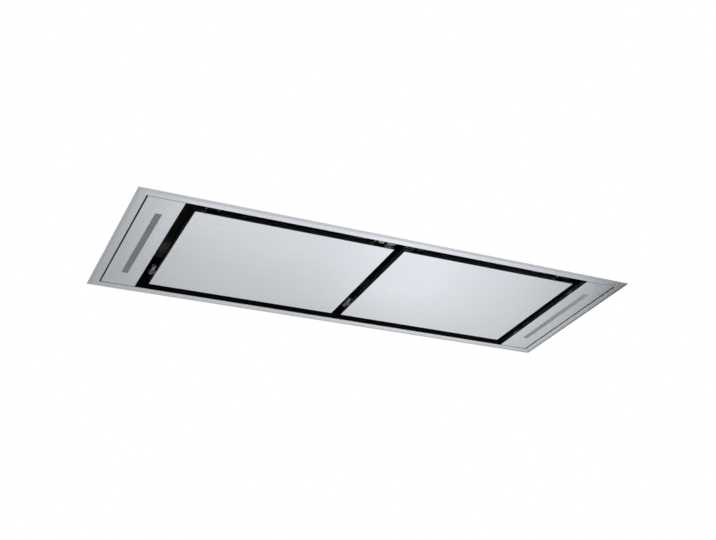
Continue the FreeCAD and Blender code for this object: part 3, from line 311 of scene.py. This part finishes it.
def on_frame_end(tree):
    """1 on the trim frame's short sides and 0 on its long ones, parted at the mitres."""
    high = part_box("trim_frame")[1]
    parts = node(tree, "ShaderNodeSeparateXYZ")
    feed(tree, node(tree, "ShaderNodeTexCoord").outputs["Object"], parts.inputs["Vector"])
    from_end = maths(tree, "SUBTRACT", high.x, maths(tree, "ABSOLUTE", parts.outputs["X"]))
    from_side = maths(tree, "SUBTRACT", high.y, maths(tree, "ABSOLUTE", parts.outputs["Y"]))
    return maths(tree, "LESS_THAN", from_end, from_side)


def brushed_steel(name, along, mitred=False):
    """Brushed stainless steel with its grain along an axis, or along each side of a mitred frame, whose
    short sides get a painted shade.
    """
    made, tree, shader = material(name, STEEL, metallic=1.0, roughness=0.3)
    fine = grain(tree, FINE_GRAIN, along, detail=3.0)
    broad = grain(tree, BROAD_GRAIN, along, detail=2.0)
    if mitred:
        on_end = on_frame_end(tree)
        fine = mix(tree, "FLOAT", on_end, fine, grain(tree, FINE_GRAIN, "y", detail=3.0))
        broad = mix(tree, "FLOAT", on_end, broad, grain(tree, BROAD_GRAIN, "y", detail=2.0))
    shade = ramp(tree, broad, low=0.0, high=1.0)
    colour = shaded(tree, shade, STEEL, dark=1 - STREAK, light=1 + STREAK)
    if mitred:
        # Painted shade: the steel of the frame's short sides is tinted darker.
        painted_shade_on_ends = shaded(tree, shade, tint(STEEL, PAINTED_END_SHADE), dark=1 - STREAK, light=1 + STREAK)
        colour = mix(tree, "RGBA", on_end, colour, painted_shade_on_ends)
    cloud = noise(tree, scale=3.0, detail=2.0)
    fine_rough = ramp(tree, fine, low=0.265, high=0.32)
    rough = maths(tree, "ADD", fine_rough, ramp(tree, cloud, low=-0.02, high=0.03))
    feed(tree, colour, shader.inputs["Base Color"])
    feed(tree, rough, shader.inputs["Roughness"])
    bump(tree, shader, fine, depth=0.03 * MM, strength=0.15)
    return made


def satin_paint(name, colour, roughness, gloss=0.5):
    """Sprayed paint with a fine orange peel."""
    made, tree, shader = material(name, colour, metallic=0.0, roughness=roughness)
    shader.inputs["Specular IOR Level"].default_value = gloss
    peel = noise(tree, scale=900.0, detail=2.0)
    cloud = noise(tree, scale=8.0, detail=3.0)
    feed(tree, shaded(tree, cloud, colour, dark=0.85, light=1.2), shader.inputs["Base Color"])
    feed(tree, ramp(tree, cloud, low=roughness - 0.05, high=roughness + 0.08), shader.inputs["Roughness"])
    bump(tree, shader, peel, depth=0.04 * MM, strength=0.5)
    return made


def galvanised(name, colour):
    """Zinc-coated sheet with a spangle of crystals and faint handling marks."""
    made, tree, shader = material(name, colour, metallic=1.0, roughness=0.4)
    tone = node(tree, "ShaderNodeSeparateColor")
    feed(tree, texture(tree, "ShaderNodeTexVoronoi", Scale=160.0)["Color"], tone.inputs["Color"])
    spangle = tone.outputs["Red"]
    dirt = noise(tree, scale=5.0, detail=5.0)
    mixed = mix(tree, "FLOAT", DIRT_SHARE, spangle, dirt)
    feed(tree, shaded(tree, mixed, colour, dark=0.82, light=1.12), shader.inputs["Base Color"])
    feed(tree, ramp(tree, mixed, low=0.34, high=0.52), shader.inputs["Roughness"])
    bump(tree, shader, spangle, depth=0.02 * MM, strength=0.15)
    return made


def plated(name, colour, roughness):
    """Bright plated or machined metal with fine handling marks."""
    made, tree, shader = material(name, colour, metallic=1.0, roughness=roughness)
    marks = noise(tree, scale=240.0, detail=4.0)
    cloud = noise(tree, scale=30.0, detail=3.0)
    feed(tree, shaded(tree, cloud, colour, dark=0.88, light=1.08), shader.inputs["Base Color"])
    feed(tree, ramp(tree, marks, low=roughness - 0.06, high=roughness + 0.08), shader.inputs["Roughness"])
    bump(tree, shader, marks, depth=0.02 * MM, strength=0.25)
    return made


def moulded(name, colour, roughness):
    """Moulded plastic or rubber with a spark-eroded grain."""
    made, tree, shader = material(name, colour, metallic=0.0, roughness=roughness)
    eroded = noise(tree, scale=1500.0, detail=2.0)
    cloud = noise(tree, scale=14.0, detail=3.0)
    feed(tree, shaded(tree, cloud, colour, dark=0.92, light=1.1), shader.inputs["Base Color"])
    feed(tree, ramp(tree, eroded, low=roughness - 0.06, high=roughness + 0.08), shader.inputs["Roughness"])
    bump(tree, shader, eroded, depth=0.04 * MM, strength=0.4)
    return made


def frosted(name, colour):
    """The lamps' frosted cover: a fine prismatic texture under a satin skin."""
    made, tree, shader = material(name, colour, metallic=0.0, roughness=0.42)
    prisms = texture(tree, "ShaderNodeTexVoronoi", Scale=650.0)["Distance"]
    cloud = noise(tree, scale=22.0, detail=3.0)
    feed(tree, shaded(tree, cloud, colour, dark=0.9, light=1.1), shader.inputs["Base Color"])
    feed(tree, ramp(tree, prisms, low=0.36, high=0.5, start=0.0, end=0.6), shader.inputs["Roughness"])
    bump(tree, shader, prisms, depth=0.1 * MM, strength=0.4)
    return made


def circuit_board(name, colour):
    """Green board with a faint pattern of tracks."""
    made, tree, shader = material(name, colour, metallic=0.0, roughness=0.38)
    tones = {"Color1": 1.0, "Color2": 1.15, "Mortar": 1.6}
    colours = {socket: (*tint(colour, tone), 1.0) for socket, tone in tones.items()}
    tracks = texture(tree, "ShaderNodeTexBrick", Scale=120.0, **colours)
    feed(tree, tracks["Color"], shader.inputs["Base Color"])
    bump(tree, shader, tracks["Fac"], depth=0.05 * MM, strength=0.3)
    return made


def recorded(make, slot, tone=1.0, **settings):
    """A slot's finish in the colour that the record gives it, darkened by a tone."""
    found = next(row for row in frame["record"]["materials"] if row["slot"] == slot)
    return make(slot, tint(found["base_color"][:3], tone), **settings)


FINISHES = {
    "black_lining": recorded(satin_paint, "black_lining", LINING_TONE, roughness=0.38, gloss=0.05),
    "galvanised": recorded(galvanised, "galvanised", GALVANISED_TONE),
    "zinc": recorded(plated, "zinc", roughness=0.26),
    "filter_aluminium": recorded(plated, "filter_aluminium", FILTER_TONE, roughness=0.36),
    "bright_steel": recorded(plated, "bright_steel", roughness=0.2),
    "diffuser": frosted("diffuser", DIFFUSER),
    "circuit_board": recorded(circuit_board, "circuit_board"),
    "ferrite": recorded(moulded, "ferrite", roughness=0.5),
    "motor_paint": recorded(satin_paint, "motor_paint", roughness=0.4),
    "rubber": recorded(moulded, "rubber", roughness=0.7),
    "black_plastic": recorded(moulded, "black_plastic", roughness=0.45),
    "pale_plastic": recorded(moulded, "pale_plastic", roughness=0.45),
}
STEEL_ALONG_X = brushed_steel("steel_along_length", "x")
STEEL_ALONG_Y = brushed_steel("steel_across", "y")
STEEL_MITRED = brushed_steel("steel_mitred", "x", mitred=True)
GREY_ZINC = plated("grey_zinc", GREY, roughness=0.36)
# Zinc tinted near black on the hinge leaves and spring rods: painted shade.
ZINC_IN_PAINTED_SHADE = plated("zinc_in_painted_shade", BLACK, roughness=0.36)
# The same springs are bright steel on the left panel and dark grey zinc on the right: painted shade on the
# right ones.
SPRING_PAINTED_SHADE_BY_SIDE = {"left": FINISHES["bright_steel"], "right": GREY_ZINC}

# Nodes whose finish isn't the one of their slot
FINISH_OF_NODE = {
    "trim_frame": STEEL_MITRED,
    "frame_skirt": STEEL_MITRED,
    "left_light_panel": STEEL_ALONG_Y,
    "right_light_panel": STEEL_ALONG_Y,
    "left_suction_panel": STEEL_ALONG_X,
    "right_suction_panel": STEEL_ALONG_X,
    "left_hinge_leaves": ZINC_IN_PAINTED_SHADE,
    "right_hinge_leaves": ZINC_IN_PAINTED_SHADE,
}


def dress_nodes():
    """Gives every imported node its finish, and smooth shading on its round faces."""
    for row in frame["record"]["subparts"]:
        data = frame["nodes"][row["node"]].data
        data.materials.clear()
        data.materials.append(FINISH_OF_NODE.get(row["node"]) or FINISHES[row["material_slot"]])
        data.shade_smooth()
        data.set_sharp_from_angle(angle=NODE_SHARP)


# Mesh helpers

def full_turn(steps):
    """The angles of a full turn in equal steps."""
    return [2 * math.pi * k / steps for k in range(steps)]


def skin(mesh, rings):
    """Adds faces from each ring of points to the next, where a ring may be a single point."""
    count = max(len(ring) for ring in rings)
    for low, high in zip(rings, rings[1:]):
        for k in range(count):
            below = low[k % len(low)], low[(k + 1) % len(low)]
            above = high[(k + 1) % len(high)], high[k % len(high)]
            mesh.faces.new(list(dict.fromkeys(below + above)))


def add_loft(mesh, rings):
    """Adds a closed form through rings of points, with a flat face on each end."""
    made = [[mesh.verts.new(point) for point in ring] for ring in rings]
    skin(mesh, made)
    mesh.faces.new(list(reversed(made[0])))
    mesh.faces.new(made[-1])


def loft(rings):
    """A new mesh of one closed form through rings of points."""
    mesh = bmesh.new()
    add_loft(mesh, rings)
    return mesh


def block(x_limits, y_limits, z_limits):
    """A closed block between two limits on each axis."""
    (start, end), (low, high) = y_limits, z_limits
    outline = [(start, low), (start, high), (end, high), (end, low)]
    return loft([[(x, y, z) for y, z in outline] for x in x_limits])


def lathe(profile, steps=ROUND, hollow=False):
    """A turned mesh from points given as radius and height, with its axis on Z.

    A hollow one has no points on the axis, and its last ring meets its first.
    """
    mesh = bmesh.new()
    rings = []
    for radius, height in profile:
        angles = full_turn(steps if radius else 1)
        points = [(radius * math.cos(a), radius * math.sin(a), height) for a in angles]
        rings.append([mesh.verts.new(point) for point in points])
    skin(mesh, rings + rings[:1] if hollow else rings)
    return mesh


def wire(points, radius):
    """A closed round wire that follows a line of points."""
    rings = []
    side = None
    for k, point in enumerate(points):
        ahead = points[min(k + 1, len(points) - 1)] - points[max(k - 1, 0)]
        ahead.normalize()
        side = side - ahead * side.dot(ahead) if side else ahead.orthogonal()
        side.normalize()
        up = ahead.cross(side)
        angles = full_turn(WIRE_ROUND)
        rings.append([point + (side * math.cos(a) + up * math.sin(a)) * radius for a in angles])
    return loft(rings)


def helix(radius, limits, turns, phase=0.0):
    """Points of a coil round Z between two heights, left-handed where its turns are negative."""
    start, end = limits
    count = abs(turns) * COIL_STEPS
    points = []
    for k in range(count + 1):
        angle = phase + 2 * math.pi * turns * k / count
        height = start + (end - start) * k / count
        points.append(Vector((radius * math.cos(angle), radius * math.sin(angle), height)))
    return points


def mesh_data(name, mesh):
    """Blender's own mesh from a bmesh, which is used up."""
    data = bpy.data.meshes.new(name)
    mesh.to_mesh(data)
    mesh.free()
    return data


def moved(mesh, matrix):
    """A mesh carried to another place."""
    bmesh.ops.transform(mesh, matrix=matrix, verts=mesh.verts)
    return mesh


def merged(meshes):
    """One mesh from several."""
    whole = bmesh.new()
    for mesh in meshes:
        part = mesh_data("part", mesh)
        whole.from_mesh(part)
        bpy.data.meshes.remove(part)
    return whole


def copies(source, places):
    """One mesh that holds a copy of another at each place."""
    pattern = mesh_data("pattern", source)
    mesh = bmesh.new()
    for matrix in places:
        start = len(mesh.verts)
        mesh.from_mesh(pattern)
        mesh.verts.ensure_lookup_table()
        bmesh.ops.transform(mesh, matrix=matrix, verts=mesh.verts[start:])
    bpy.data.meshes.remove(pattern)
    return mesh


def facing(point, normal):
    """The place of a head that lies on a surface at a point, looking along its normal."""
    turn = Vector(normal).to_track_quat("Z", "Y").to_matrix().to_4x4()
    return Matrix.Translation(Vector(point)) @ turn


def spread(low, high, count, inset):
    """Evenly spaced places between two limits."""
    first, last = low + inset, high - inset
    return [first + (last - first) * k / (count - 1) for k in range(count)]


def around(low, high, level, counts, inset):
    """Places round the four upright sides of a box, at one level."""
    places = []
    for x in spread(low.x, high.x, counts[0], inset):
        places.append(facing((x, low.y, level), NEAR))
        places.append(facing((x, high.y, level), FAR))
    for y in spread(low.y, high.y, counts[1], inset):
        places.append(facing((low.x, y, level), LEFT))
        places.append(facing((high.x, y, level), RIGHT))
    return places


def added(name, data):
    """A new object in the scene."""
    made = bpy.data.objects.new(name, data)
    bpy.context.scene.collection.objects.link(made)
    return made


def piece(name, mesh, body, finish):
    """A finished piece of the object from a bmesh, riding on a body."""
    bmesh.ops.recalc_face_normals(mesh, faces=mesh.faces)
    data = mesh_data(name, mesh)
    data.shade_smooth()
    data.set_sharp_from_angle(angle=PIECE_SHARP)
    data.materials.append(finish)
    made = added(name, data)
    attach(made, body)
    return made


def fasteners(name, head, places, slot):
    """Heads of one kind at many places on the housing, as one piece."""
    piece(name, copies(head, places), "housing", FINISHES[slot])


# Screws, rivets and bolts

def rivet(radius):
    """A domed blind rivet with its mandrel's dimple, whose head lies on Z 0."""
    dome = [(math.cos(a), RIVET_RIM + (1 - RIVET_RIM) * math.sin(a)) for a in RIVET_DOME]
    profile = [(0, 0), (1, 0), (1, RIVET_RIM), *dome, *RIVET_DIMPLE]
    return lathe([(radius * out, radius * RIVET_RISE * up) for out, up in profile], RIVET_ROUND)


def hex_screw(across):
    """A flanged hexagon head with a chamfered crown, on Z 0."""
    corner = across / math.sqrt(3)
    flange = lathe([(across * out, across * up) for out, up in SCREW_FLANGE])
    head = lathe([(corner * out, across * up) for out, up in SCREW_HEAD], HEXAGON)
    return merged([flange, head])


def lid_screws():
    """Screws through the rims of the two lids."""
    for lid, counts in LID_SCREWS.items():
        low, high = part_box(lid)
        places = around(low, high, low.z + LID_SCREW_LEVEL, counts, SCREW_INSET)
        fasteners(lid + "_screws", hex_screw(LID_SCREW), places, "zinc")


def foot_screws():
    """Screws through the motor box's foot flange into the casing top."""
    low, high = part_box("motor_box")
    lid_low, lid_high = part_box("motor_box_lid")
    level = low.z + FOOT_SHEET
    places = []
    for x in spread(lid_low.x, high.x, FOOT_SCREWS[0], SCREW_INSET):
        places.append(facing((x, low.y + FOOT_EDGE, level), UP))
        places.append(facing((x, high.y - FOOT_EDGE, level), UP))
    for y in spread(lid_low.y, lid_high.y, FOOT_SCREWS[1], SCREW_INSET):
        places.append(facing((low.x + FOOT_EDGE, y, level), UP))
    fasteners("motor_box_screws", hex_screw(LID_SCREW), places, "zinc")


def skirt_rivets():
    """Rivets through the trim frame's skirt into the casing."""
    places = around(*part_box("frame_skirt"), SKIRT_RIVET_LEVEL, SKIRT_RIVETS, SKIRT_RIVET_INSET)
    fasteners("skirt_rivets", rivet(RIVET), places, "filter_aluminium")


def casing_rivets():
    """Rivets along the casing's edges into the lap flanges of its end plates."""
    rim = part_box("casing_shell")[0].z
    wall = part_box("far_casing_side")[1].y
    places = []
    for side in SIDES:
        low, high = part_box(side + "_casing_end")
        x = low.x + CASING_LAP if side == "left" else high.x - CASING_LAP
        for y in spread(low.y, high.y, TOP_RIVETS, TOP_RIVET_INSET):
            places.append(facing((x, y, high.z), UP))
        for z in spread(WALL_RIVET_START, rim, WALL_RIVETS, WALL_RIVET_INSET):
            places.append(facing((x, -wall, z), NEAR))
            places.append(facing((x, wall, z), FAR))
    fasteners("casing_rivets", rivet(RIVET), places, "filter_aluminium")


def hanger_bolts():
    """Bolt heads on the feet of the hanging brackets."""
    low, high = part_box("hanging_brackets")
    x, y = high.x - HANGER_BOLT_END, high.y - HANGER_BOLT_SIDE
    level = low.z + HANGER_SHEET
    places = []
    for side in (-1, 1):
        for end in (-1, 1):
            for offset in (-HANGER_BOLT_OFFSET, HANGER_BOLT_OFFSET):
                places.append(facing((side * x, end * y + offset, level), UP))
    fasteners("hanger_bolts", hex_screw(HANGER_BOLT), places, "zinc")


def neck_rivets():
    """Rivets through the outlet's flange into the motor box."""
    low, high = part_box("outlet_neck")
    places = []
    for y in (low.y + NECK_RIVET_INSET, high.y - NECK_RIVET_INSET):
        for rise in NECK_RIVET_RISES:
            places.append(facing((low.x + NECK_LIP, y, low.z + rise), RIGHT))
    fasteners("neck_rivets", rivet(NECK_RIVET), places, "filter_aluminium")


# Hinges

def on_hinge(x, way):
    """A place on the hinge line that looks along X, to the right where its way is 1."""
    return facing((x, HINGE_Y, HINGE_Z), (way, 0, 0))


def leaf_ends(side):
    """How far from the middle a panel's hinge leaves start and end."""
    low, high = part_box(side + "_hinge_leaves")
    return sorted((abs(low.x), abs(high.x)))


def pin_head():
    """A domed head on a short neck, which starts at Z 0 on the end of a hinge pin."""
    neck = [(0, 0), (PIN_RADIUS, 0), (PIN_RADIUS, PIN_NECK)]
    crown = [(PIN_HEAD * share, PIN_NECK + rise) for share, rise in PIN_CROWN]
    return lathe(neck + crown, PIN_ROUND)


def torsion_spring(at, radius, limits, turns, thickness, rest_y):
    """A coil at a place, with a straight arm from its start to what it rests on."""
    coil = [at @ point for point in helix(radius, limits, turns, ARM_ANGLE)]
    arm = Vector((coil[0].x, rest_y, coil[0].z))
    return wire([arm] + coil, thickness)


def hinge_springs():
    """Heads on the hinge pins, and past each inner pin a rod with a spring that rests on the near liner."""
    outer = PINS_HIGH.x
    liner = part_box("near_liner")[1].y
    limits = (SPRING_GAP + HINGE_WIRE, HINGE_SPRING_LENGTH - HINGE_WIRE)
    for side, sign in SIDES.items():
        inner = leaf_ends(side)[0]
        places = [on_hinge(sign * outer, sign),
                  on_hinge(sign * (outer - PIN_LENGTH), -sign),
                  on_hinge(sign * (inner + PIN_LENGTH), sign),
                  on_hinge(sign * (inner - ROD_LENGTH), -sign)]
        fasteners(side + "_pin_heads", pin_head(), places, "zinc")
        start = on_hinge(sign * inner, -sign)
        rod = lathe([(0, 0), (PIN_RADIUS, 0), (PIN_RADIUS, ROD_LENGTH), (0, ROD_LENGTH)], PIN_ROUND)
        piece(side + "_spring_rod", moved(rod, start), "housing", ZINC_IN_PAINTED_SHADE)
        turns = sign * SPRING_TURNS
        spring = torsion_spring(start, HINGE_SPRING_RADIUS, limits, turns, HINGE_WIRE, liner)
        piece(side + "_hinge_spring", spring, "housing", SPRING_PAINTED_SHADE_BY_SIDE[side])


def knuckle(limits):
    """A rolled eye round the hinge pin, between two limits along X."""
    width = abs(limits[1] - limits[0])
    bore = PIN_RADIUS + KNUCKLE_GAP
    profile = [(bore, 0), (KNUCKLE_RADIUS, 0), (KNUCKLE_RADIUS, width), (bore, width)]
    return moved(lathe(profile, hollow=True), on_hinge(min(limits), 1))


def hinge_leaves():
    """Each panel's two leaves: a whole outer one, and an inner one with a spring between two knuckles."""
    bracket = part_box("near_liner")[1].y + LEAF_ARM_SEAT
    length = LEAF_WIDTH - 2 * KNUCKLE_WIDTH
    coil = (SPRING_GAP + LEAF_WIRE, length - SPRING_GAP - LEAF_WIRE)
    for side, sign in SIDES.items():
        low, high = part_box(side + "_hinge_leaves")
        inner, outer = leaf_ends(side)
        whole = (sign * (outer - LEAF_WIDTH), sign * outer)
        first = (sign * inner, sign * (inner + KNUCKLE_WIDTH))
        last = (sign * (inner + LEAF_WIDTH - KNUCKLE_WIDTH), sign * (inner + LEAF_WIDTH))
        plate_y, plate_z = (high.y, high.y - LEAF_SHEET), (low.z, high.z)
        web_y, web_z = (high.y - LEAF_SHEET / 2, HINGE_Y + LEAF_SHEET / 4), (high.z - LEAF_SHEET, high.z)
        parts = [block(whole, plate_y, plate_z), block((first[0], last[1]), plate_y, plate_z)]
        for limits in (whole, first, last):
            parts += [block(limits, web_y, web_z), knuckle(limits)]
        made = piece(side + "_spring_leaves", merged(parts), side + "_panel", ZINC_IN_PAINTED_SHADE)
        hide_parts(side + "_hinge_leaves")
        start, turns = on_hinge(first[1], sign), -sign * SPRING_TURNS
        spring = torsion_spring(start, LEAF_SPRING_RADIUS, coil, turns, LEAF_WIRE, bracket)
        piece(side + "_leaf_spring", spring, "housing", SPRING_PAINTED_SHADE_BY_SIDE[side])


# Buffers and filters

def buffer_body():
    """A buffer turned round Z: its end plate, its rod, its barrel and the tail behind that."""
    rod, end = BARREL_START - BUFFER_START, BARREL_END - BUFFER_START
    plate = [(0, 0), (BUFFER_FACE, 0), (BUFFER_RADIUS, BUFFER_ROUNDING), (BUFFER_RADIUS, BUFFER_PLATE)]
    thin = [(BUFFER_ROD, BUFFER_PLATE + BUFFER_TAPER), (BUFFER_ROD, rod)]
    front = [(BARREL_RIM, rod), (BUFFER_RADIUS, rod + BARREL_CHAMFER)]
    back = [(BUFFER_RADIUS, end - BARREL_CHAMFER), (BARREL_RIM, end)]
    tail = [(TAIL_RADIUS, end), (TAIL_RADIUS, end + TAIL_LENGTH), (0, end + TAIL_LENGTH)]
    return lathe(plate + thin + front + back + tail)


def saddle(edge):
    """The folded foot that carries a buffer's barrel on a panel's return."""
    face = edge - BUFFER_STANDOFF + BUFFER_RADIUS * SADDLE_GRIP
    low, high = BUFFER_Z - SADDLE_HALF_HEIGHT, BUFFER_Z + SADDLE_HALF_HEIGHT
    outline = [(edge, low), (face + SADDLE_BEND, low), (face, low + SADDLE_BEND),
               (face, high - SADDLE_BEND), (face + SADDLE_BEND, high), (edge, high)]
    limits = (BARREL_START + SADDLE_INSET, BARREL_END - SADDLE_INSET)
    return loft([[(x, y, z) for x, z in outline] for y in limits])


def panel_buffers():
    """A sprung buffer on the left return of each panel, near its free edge."""
    limits = (BUFFER_PLATE + BUFFER_WIRE, BARREL_START - BUFFER_START - BUFFER_WIRE)
    coil = helix(BUFFER_RADIUS - BUFFER_WIRE, limits, BUFFER_TURNS)
    for side in SIDES:
        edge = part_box(side + "_suction_panel")[0].x
        start = facing((edge - BUFFER_STANDOFF, BUFFER_START, BUFFER_Z), FAR)
        body = merged([moved(buffer_body(), start), saddle(edge)])
        piece(side + "_panel_buffer", body, side + "_panel", GREY_ZINC)
        spring = wire([start @ point for point in coil], BUFFER_WIRE)
        piece(side + "_buffer_spring", spring, side + "_panel", FINISHES["bright_steel"])


def filter_meshes():
    """Expanded aluminium mesh over each filter's baffle: a lattice of diamond openings."""
    half, sheet = MESH_STRAND / 2, MESH_SHEET
    section = ((-half, 0), (half, 0), (half, sheet), (-half, sheet))
    for side in SIDES:
        low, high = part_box(side + "_filter_baffle")
        columns = int((high.x - low.x) // MESH_PITCH)
        rows = int((high.y - low.y - MESH_MARGIN) // (MESH_PITCH / 2))
        mesh = bmesh.new()
        for row in range(rows):
            middle = low.y + MESH_NEAR + row * MESH_PITCH / 2 + MESH_PITCH / 4
            level = high.z + MESH_GAP + (MESH_STEP if row % 2 else 0)
            strand = []
            for k in range(2 * columns + 1):
                x = low.x + MESH_LEFT + k * MESH_PITCH / 2
                y = middle + (1 if (k + row) % 2 else -1) * MESH_PITCH / 8
                strand.append([(x, y + across, level + up) for across, up in section])
            add_loft(mesh, strand)
        piece(side + "_filter_mesh", mesh, "housing", FINISHES["filter_aluminium"])


# Stage, light and camera

def seen_rays(tree):
    """1 for what the camera, reflections and clear pieces see, and 0 for the light on surfaces."""
    path = node(tree, "ShaderNodeLightPath").outputs
    seen = maths(tree, "MAXIMUM", path["Is Camera Ray"], path["Is Glossy Ray"])
    return maths(tree, "MAXIMUM", seen, path["Is Transmission Ray"])


def mixed_output(tree, kind, factor, first, second):
    """Sends one shader or another to the tree's output, by a factor from 0 to 1."""
    both = node(tree, "ShaderNodeMixShader")
    feed(tree, factor, both.inputs["Fac"])
    feed(tree, first, both.inputs[1])
    feed(tree, second, both.inputs[2])
    feed(tree, both.outputs["Shader"], node(tree, kind).inputs["Surface"])


def ceiling():
    """The ceiling that the frame lies against, round its outline, which only a view from below shows."""
    low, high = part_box("trim_frame")
    edge = [(low.x, low.y), (low.x, high.y), (high.x, high.y), (high.x, low.y)]
    reach = [(math.copysign(CEILING_REACH, x), math.copysign(CEILING_REACH, y)) for x, y in edge]
    mesh = bmesh.new()
    skin(mesh, [[mesh.verts.new((x, y, high.z)) for x, y in ring] for ring in (reach, edge)])
    made = added("ceiling", mesh_data("ceiling", mesh))
    finish = bpy.data.materials.new("ceiling")
    finish.use_nodes = True
    tree = finish.node_tree
    tree.nodes.clear()
    below = maths(tree, "SUBTRACT", 1.0, node(tree, "ShaderNodeNewGeometry").outputs["Backfacing"])
    seen = maths(tree, "MULTIPLY", seen_rays(tree), below)
    clear = node(tree, "ShaderNodeBsdfTransparent").outputs["BSDF"]
    white = node(tree, "ShaderNodeEmission", Color=WHITE, Strength=1.0).outputs["Emission"]
    mixed_output(tree, "ShaderNodeOutputMaterial", seen, clear, white)
    made.data.materials.append(finish)


def world():
    """White for what the camera and reflections see, and a plain even light on everything else."""
    made = bpy.data.worlds.new("studio")
    bpy.context.scene.world = made
    made.use_nodes = True
    tree = made.node_tree
    tree.nodes.clear()
    plain = node(tree, "ShaderNodeBackground", Color=WHITE, Strength=AMBIENT).outputs["Background"]
    white = node(tree, "ShaderNodeBackground", Color=WHITE, Strength=1.0).outputs["Background"]
    mixed_output(tree, "ShaderNodeOutputWorld", seen_rays(tree), plain, white)


def plane(name, size, at, colour):
    """A flat matt plane that isn't part of the object."""
    bpy.ops.mesh.primitive_plane_add(size=size, location=at)
    made = bpy.context.object
    made.name = name
    made.data.materials.append(material(name, colour, metallic=0.0, roughness=MATT)[0])
    return made


def flag(name, at, size, turn):
    """A dark card that only reflections see, as a studio puts beside bright metal."""
    made = plane(name, 1.0, at, FLAG_COLOUR)
    made.scale = (*size, 1.0)
    made.rotation_euler = (0, 0, math.radians(turn))
    made.visible_camera = made.visible_diffuse = made.visible_shadow = False


def softbox(name, at, target, size, power, turn=0.0, mirrored=True):
    """A rectangular studio lamp that looks at a point, turned by an angle on its own axis."""
    lamp = bpy.data.lights.new(name, "AREA")
    lamp.shape = "RECTANGLE"
    lamp.size, lamp.size_y = size
    lamp.energy = power
    made = added(name, lamp)
    made.location = at
    made.rotation_mode = "QUATERNION"
    looking = (Vector(target) - Vector(at)).to_track_quat("-Z", "Y")
    made.rotation_quaternion = looking @ Quaternion((0, 0, 1), math.radians(turn))
    made.visible_camera = False
    made.visible_glossy = mirrored


def studio():
    """Two lamps above, two below for the sheen on the steel, one for a lamp cover, and two dark cards."""
    softbox("key", (-2.2, -2.4, 2.4), PART_MIDDLE, size=(2.0, 2.0), power=22)
    softbox("fill", (2.6, -1.8, 0.4), PART_MIDDLE, size=(1.6, 1.6), power=12)
    softbox("glow", (1.42, 2.14, -1.6), (1.42, 2.14, 0.0), size=(2.7, 0.92), power=7.4, turn=-4)
    softbox("gleam", (1.36, 2.0, -1.58), (1.36, 2.0, 0.0), size=(0.5, 0.9), power=1.5)
    softbox("side", (1.2, -0.45, -0.5), (0.53, 0, 0), size=(0.4, 0.4), power=11.5, mirrored=False)
    flag("flag_right", (1.89, 0.81, -0.55), size=(1.13, 2.3), turn=-14)
    flag("flag_left", (-0.55, 3.45, -1.4), size=(1.3, 1.0), turn=0)


def camera():
    """The photograph's camera."""
    data = bpy.data.cameras.new("camera")
    data.sensor_width = SENSOR_MM
    data.lens = LENS_MM
    made = added("camera", data)
    right, up = Vector(CAMERA_RIGHT).normalized(), Vector(CAMERA_UP).normalized()
    back = right.cross(up).normalized()
    turn = Matrix((right, up, back)).transposed().to_4x4()
    made.matrix_world = Matrix.Translation(CAMERA_PLACE) @ turn
    bpy.context.scene.camera = made


dress_nodes()
lid_screws()
foot_screws()
skirt_rivets()
casing_rivets()
hanger_bolts()
neck_rivets()
hinge_springs()
hinge_leaves()
panel_buffers()
filter_meshes()
ceiling()
plane("floor", FLOOR_SIZE, (0, 0, FLOOR_LEVEL), FLOOR_COLOUR)
world()
studio()
camera()
bpy.context.scene.view_settings.view_transform = "Standard"
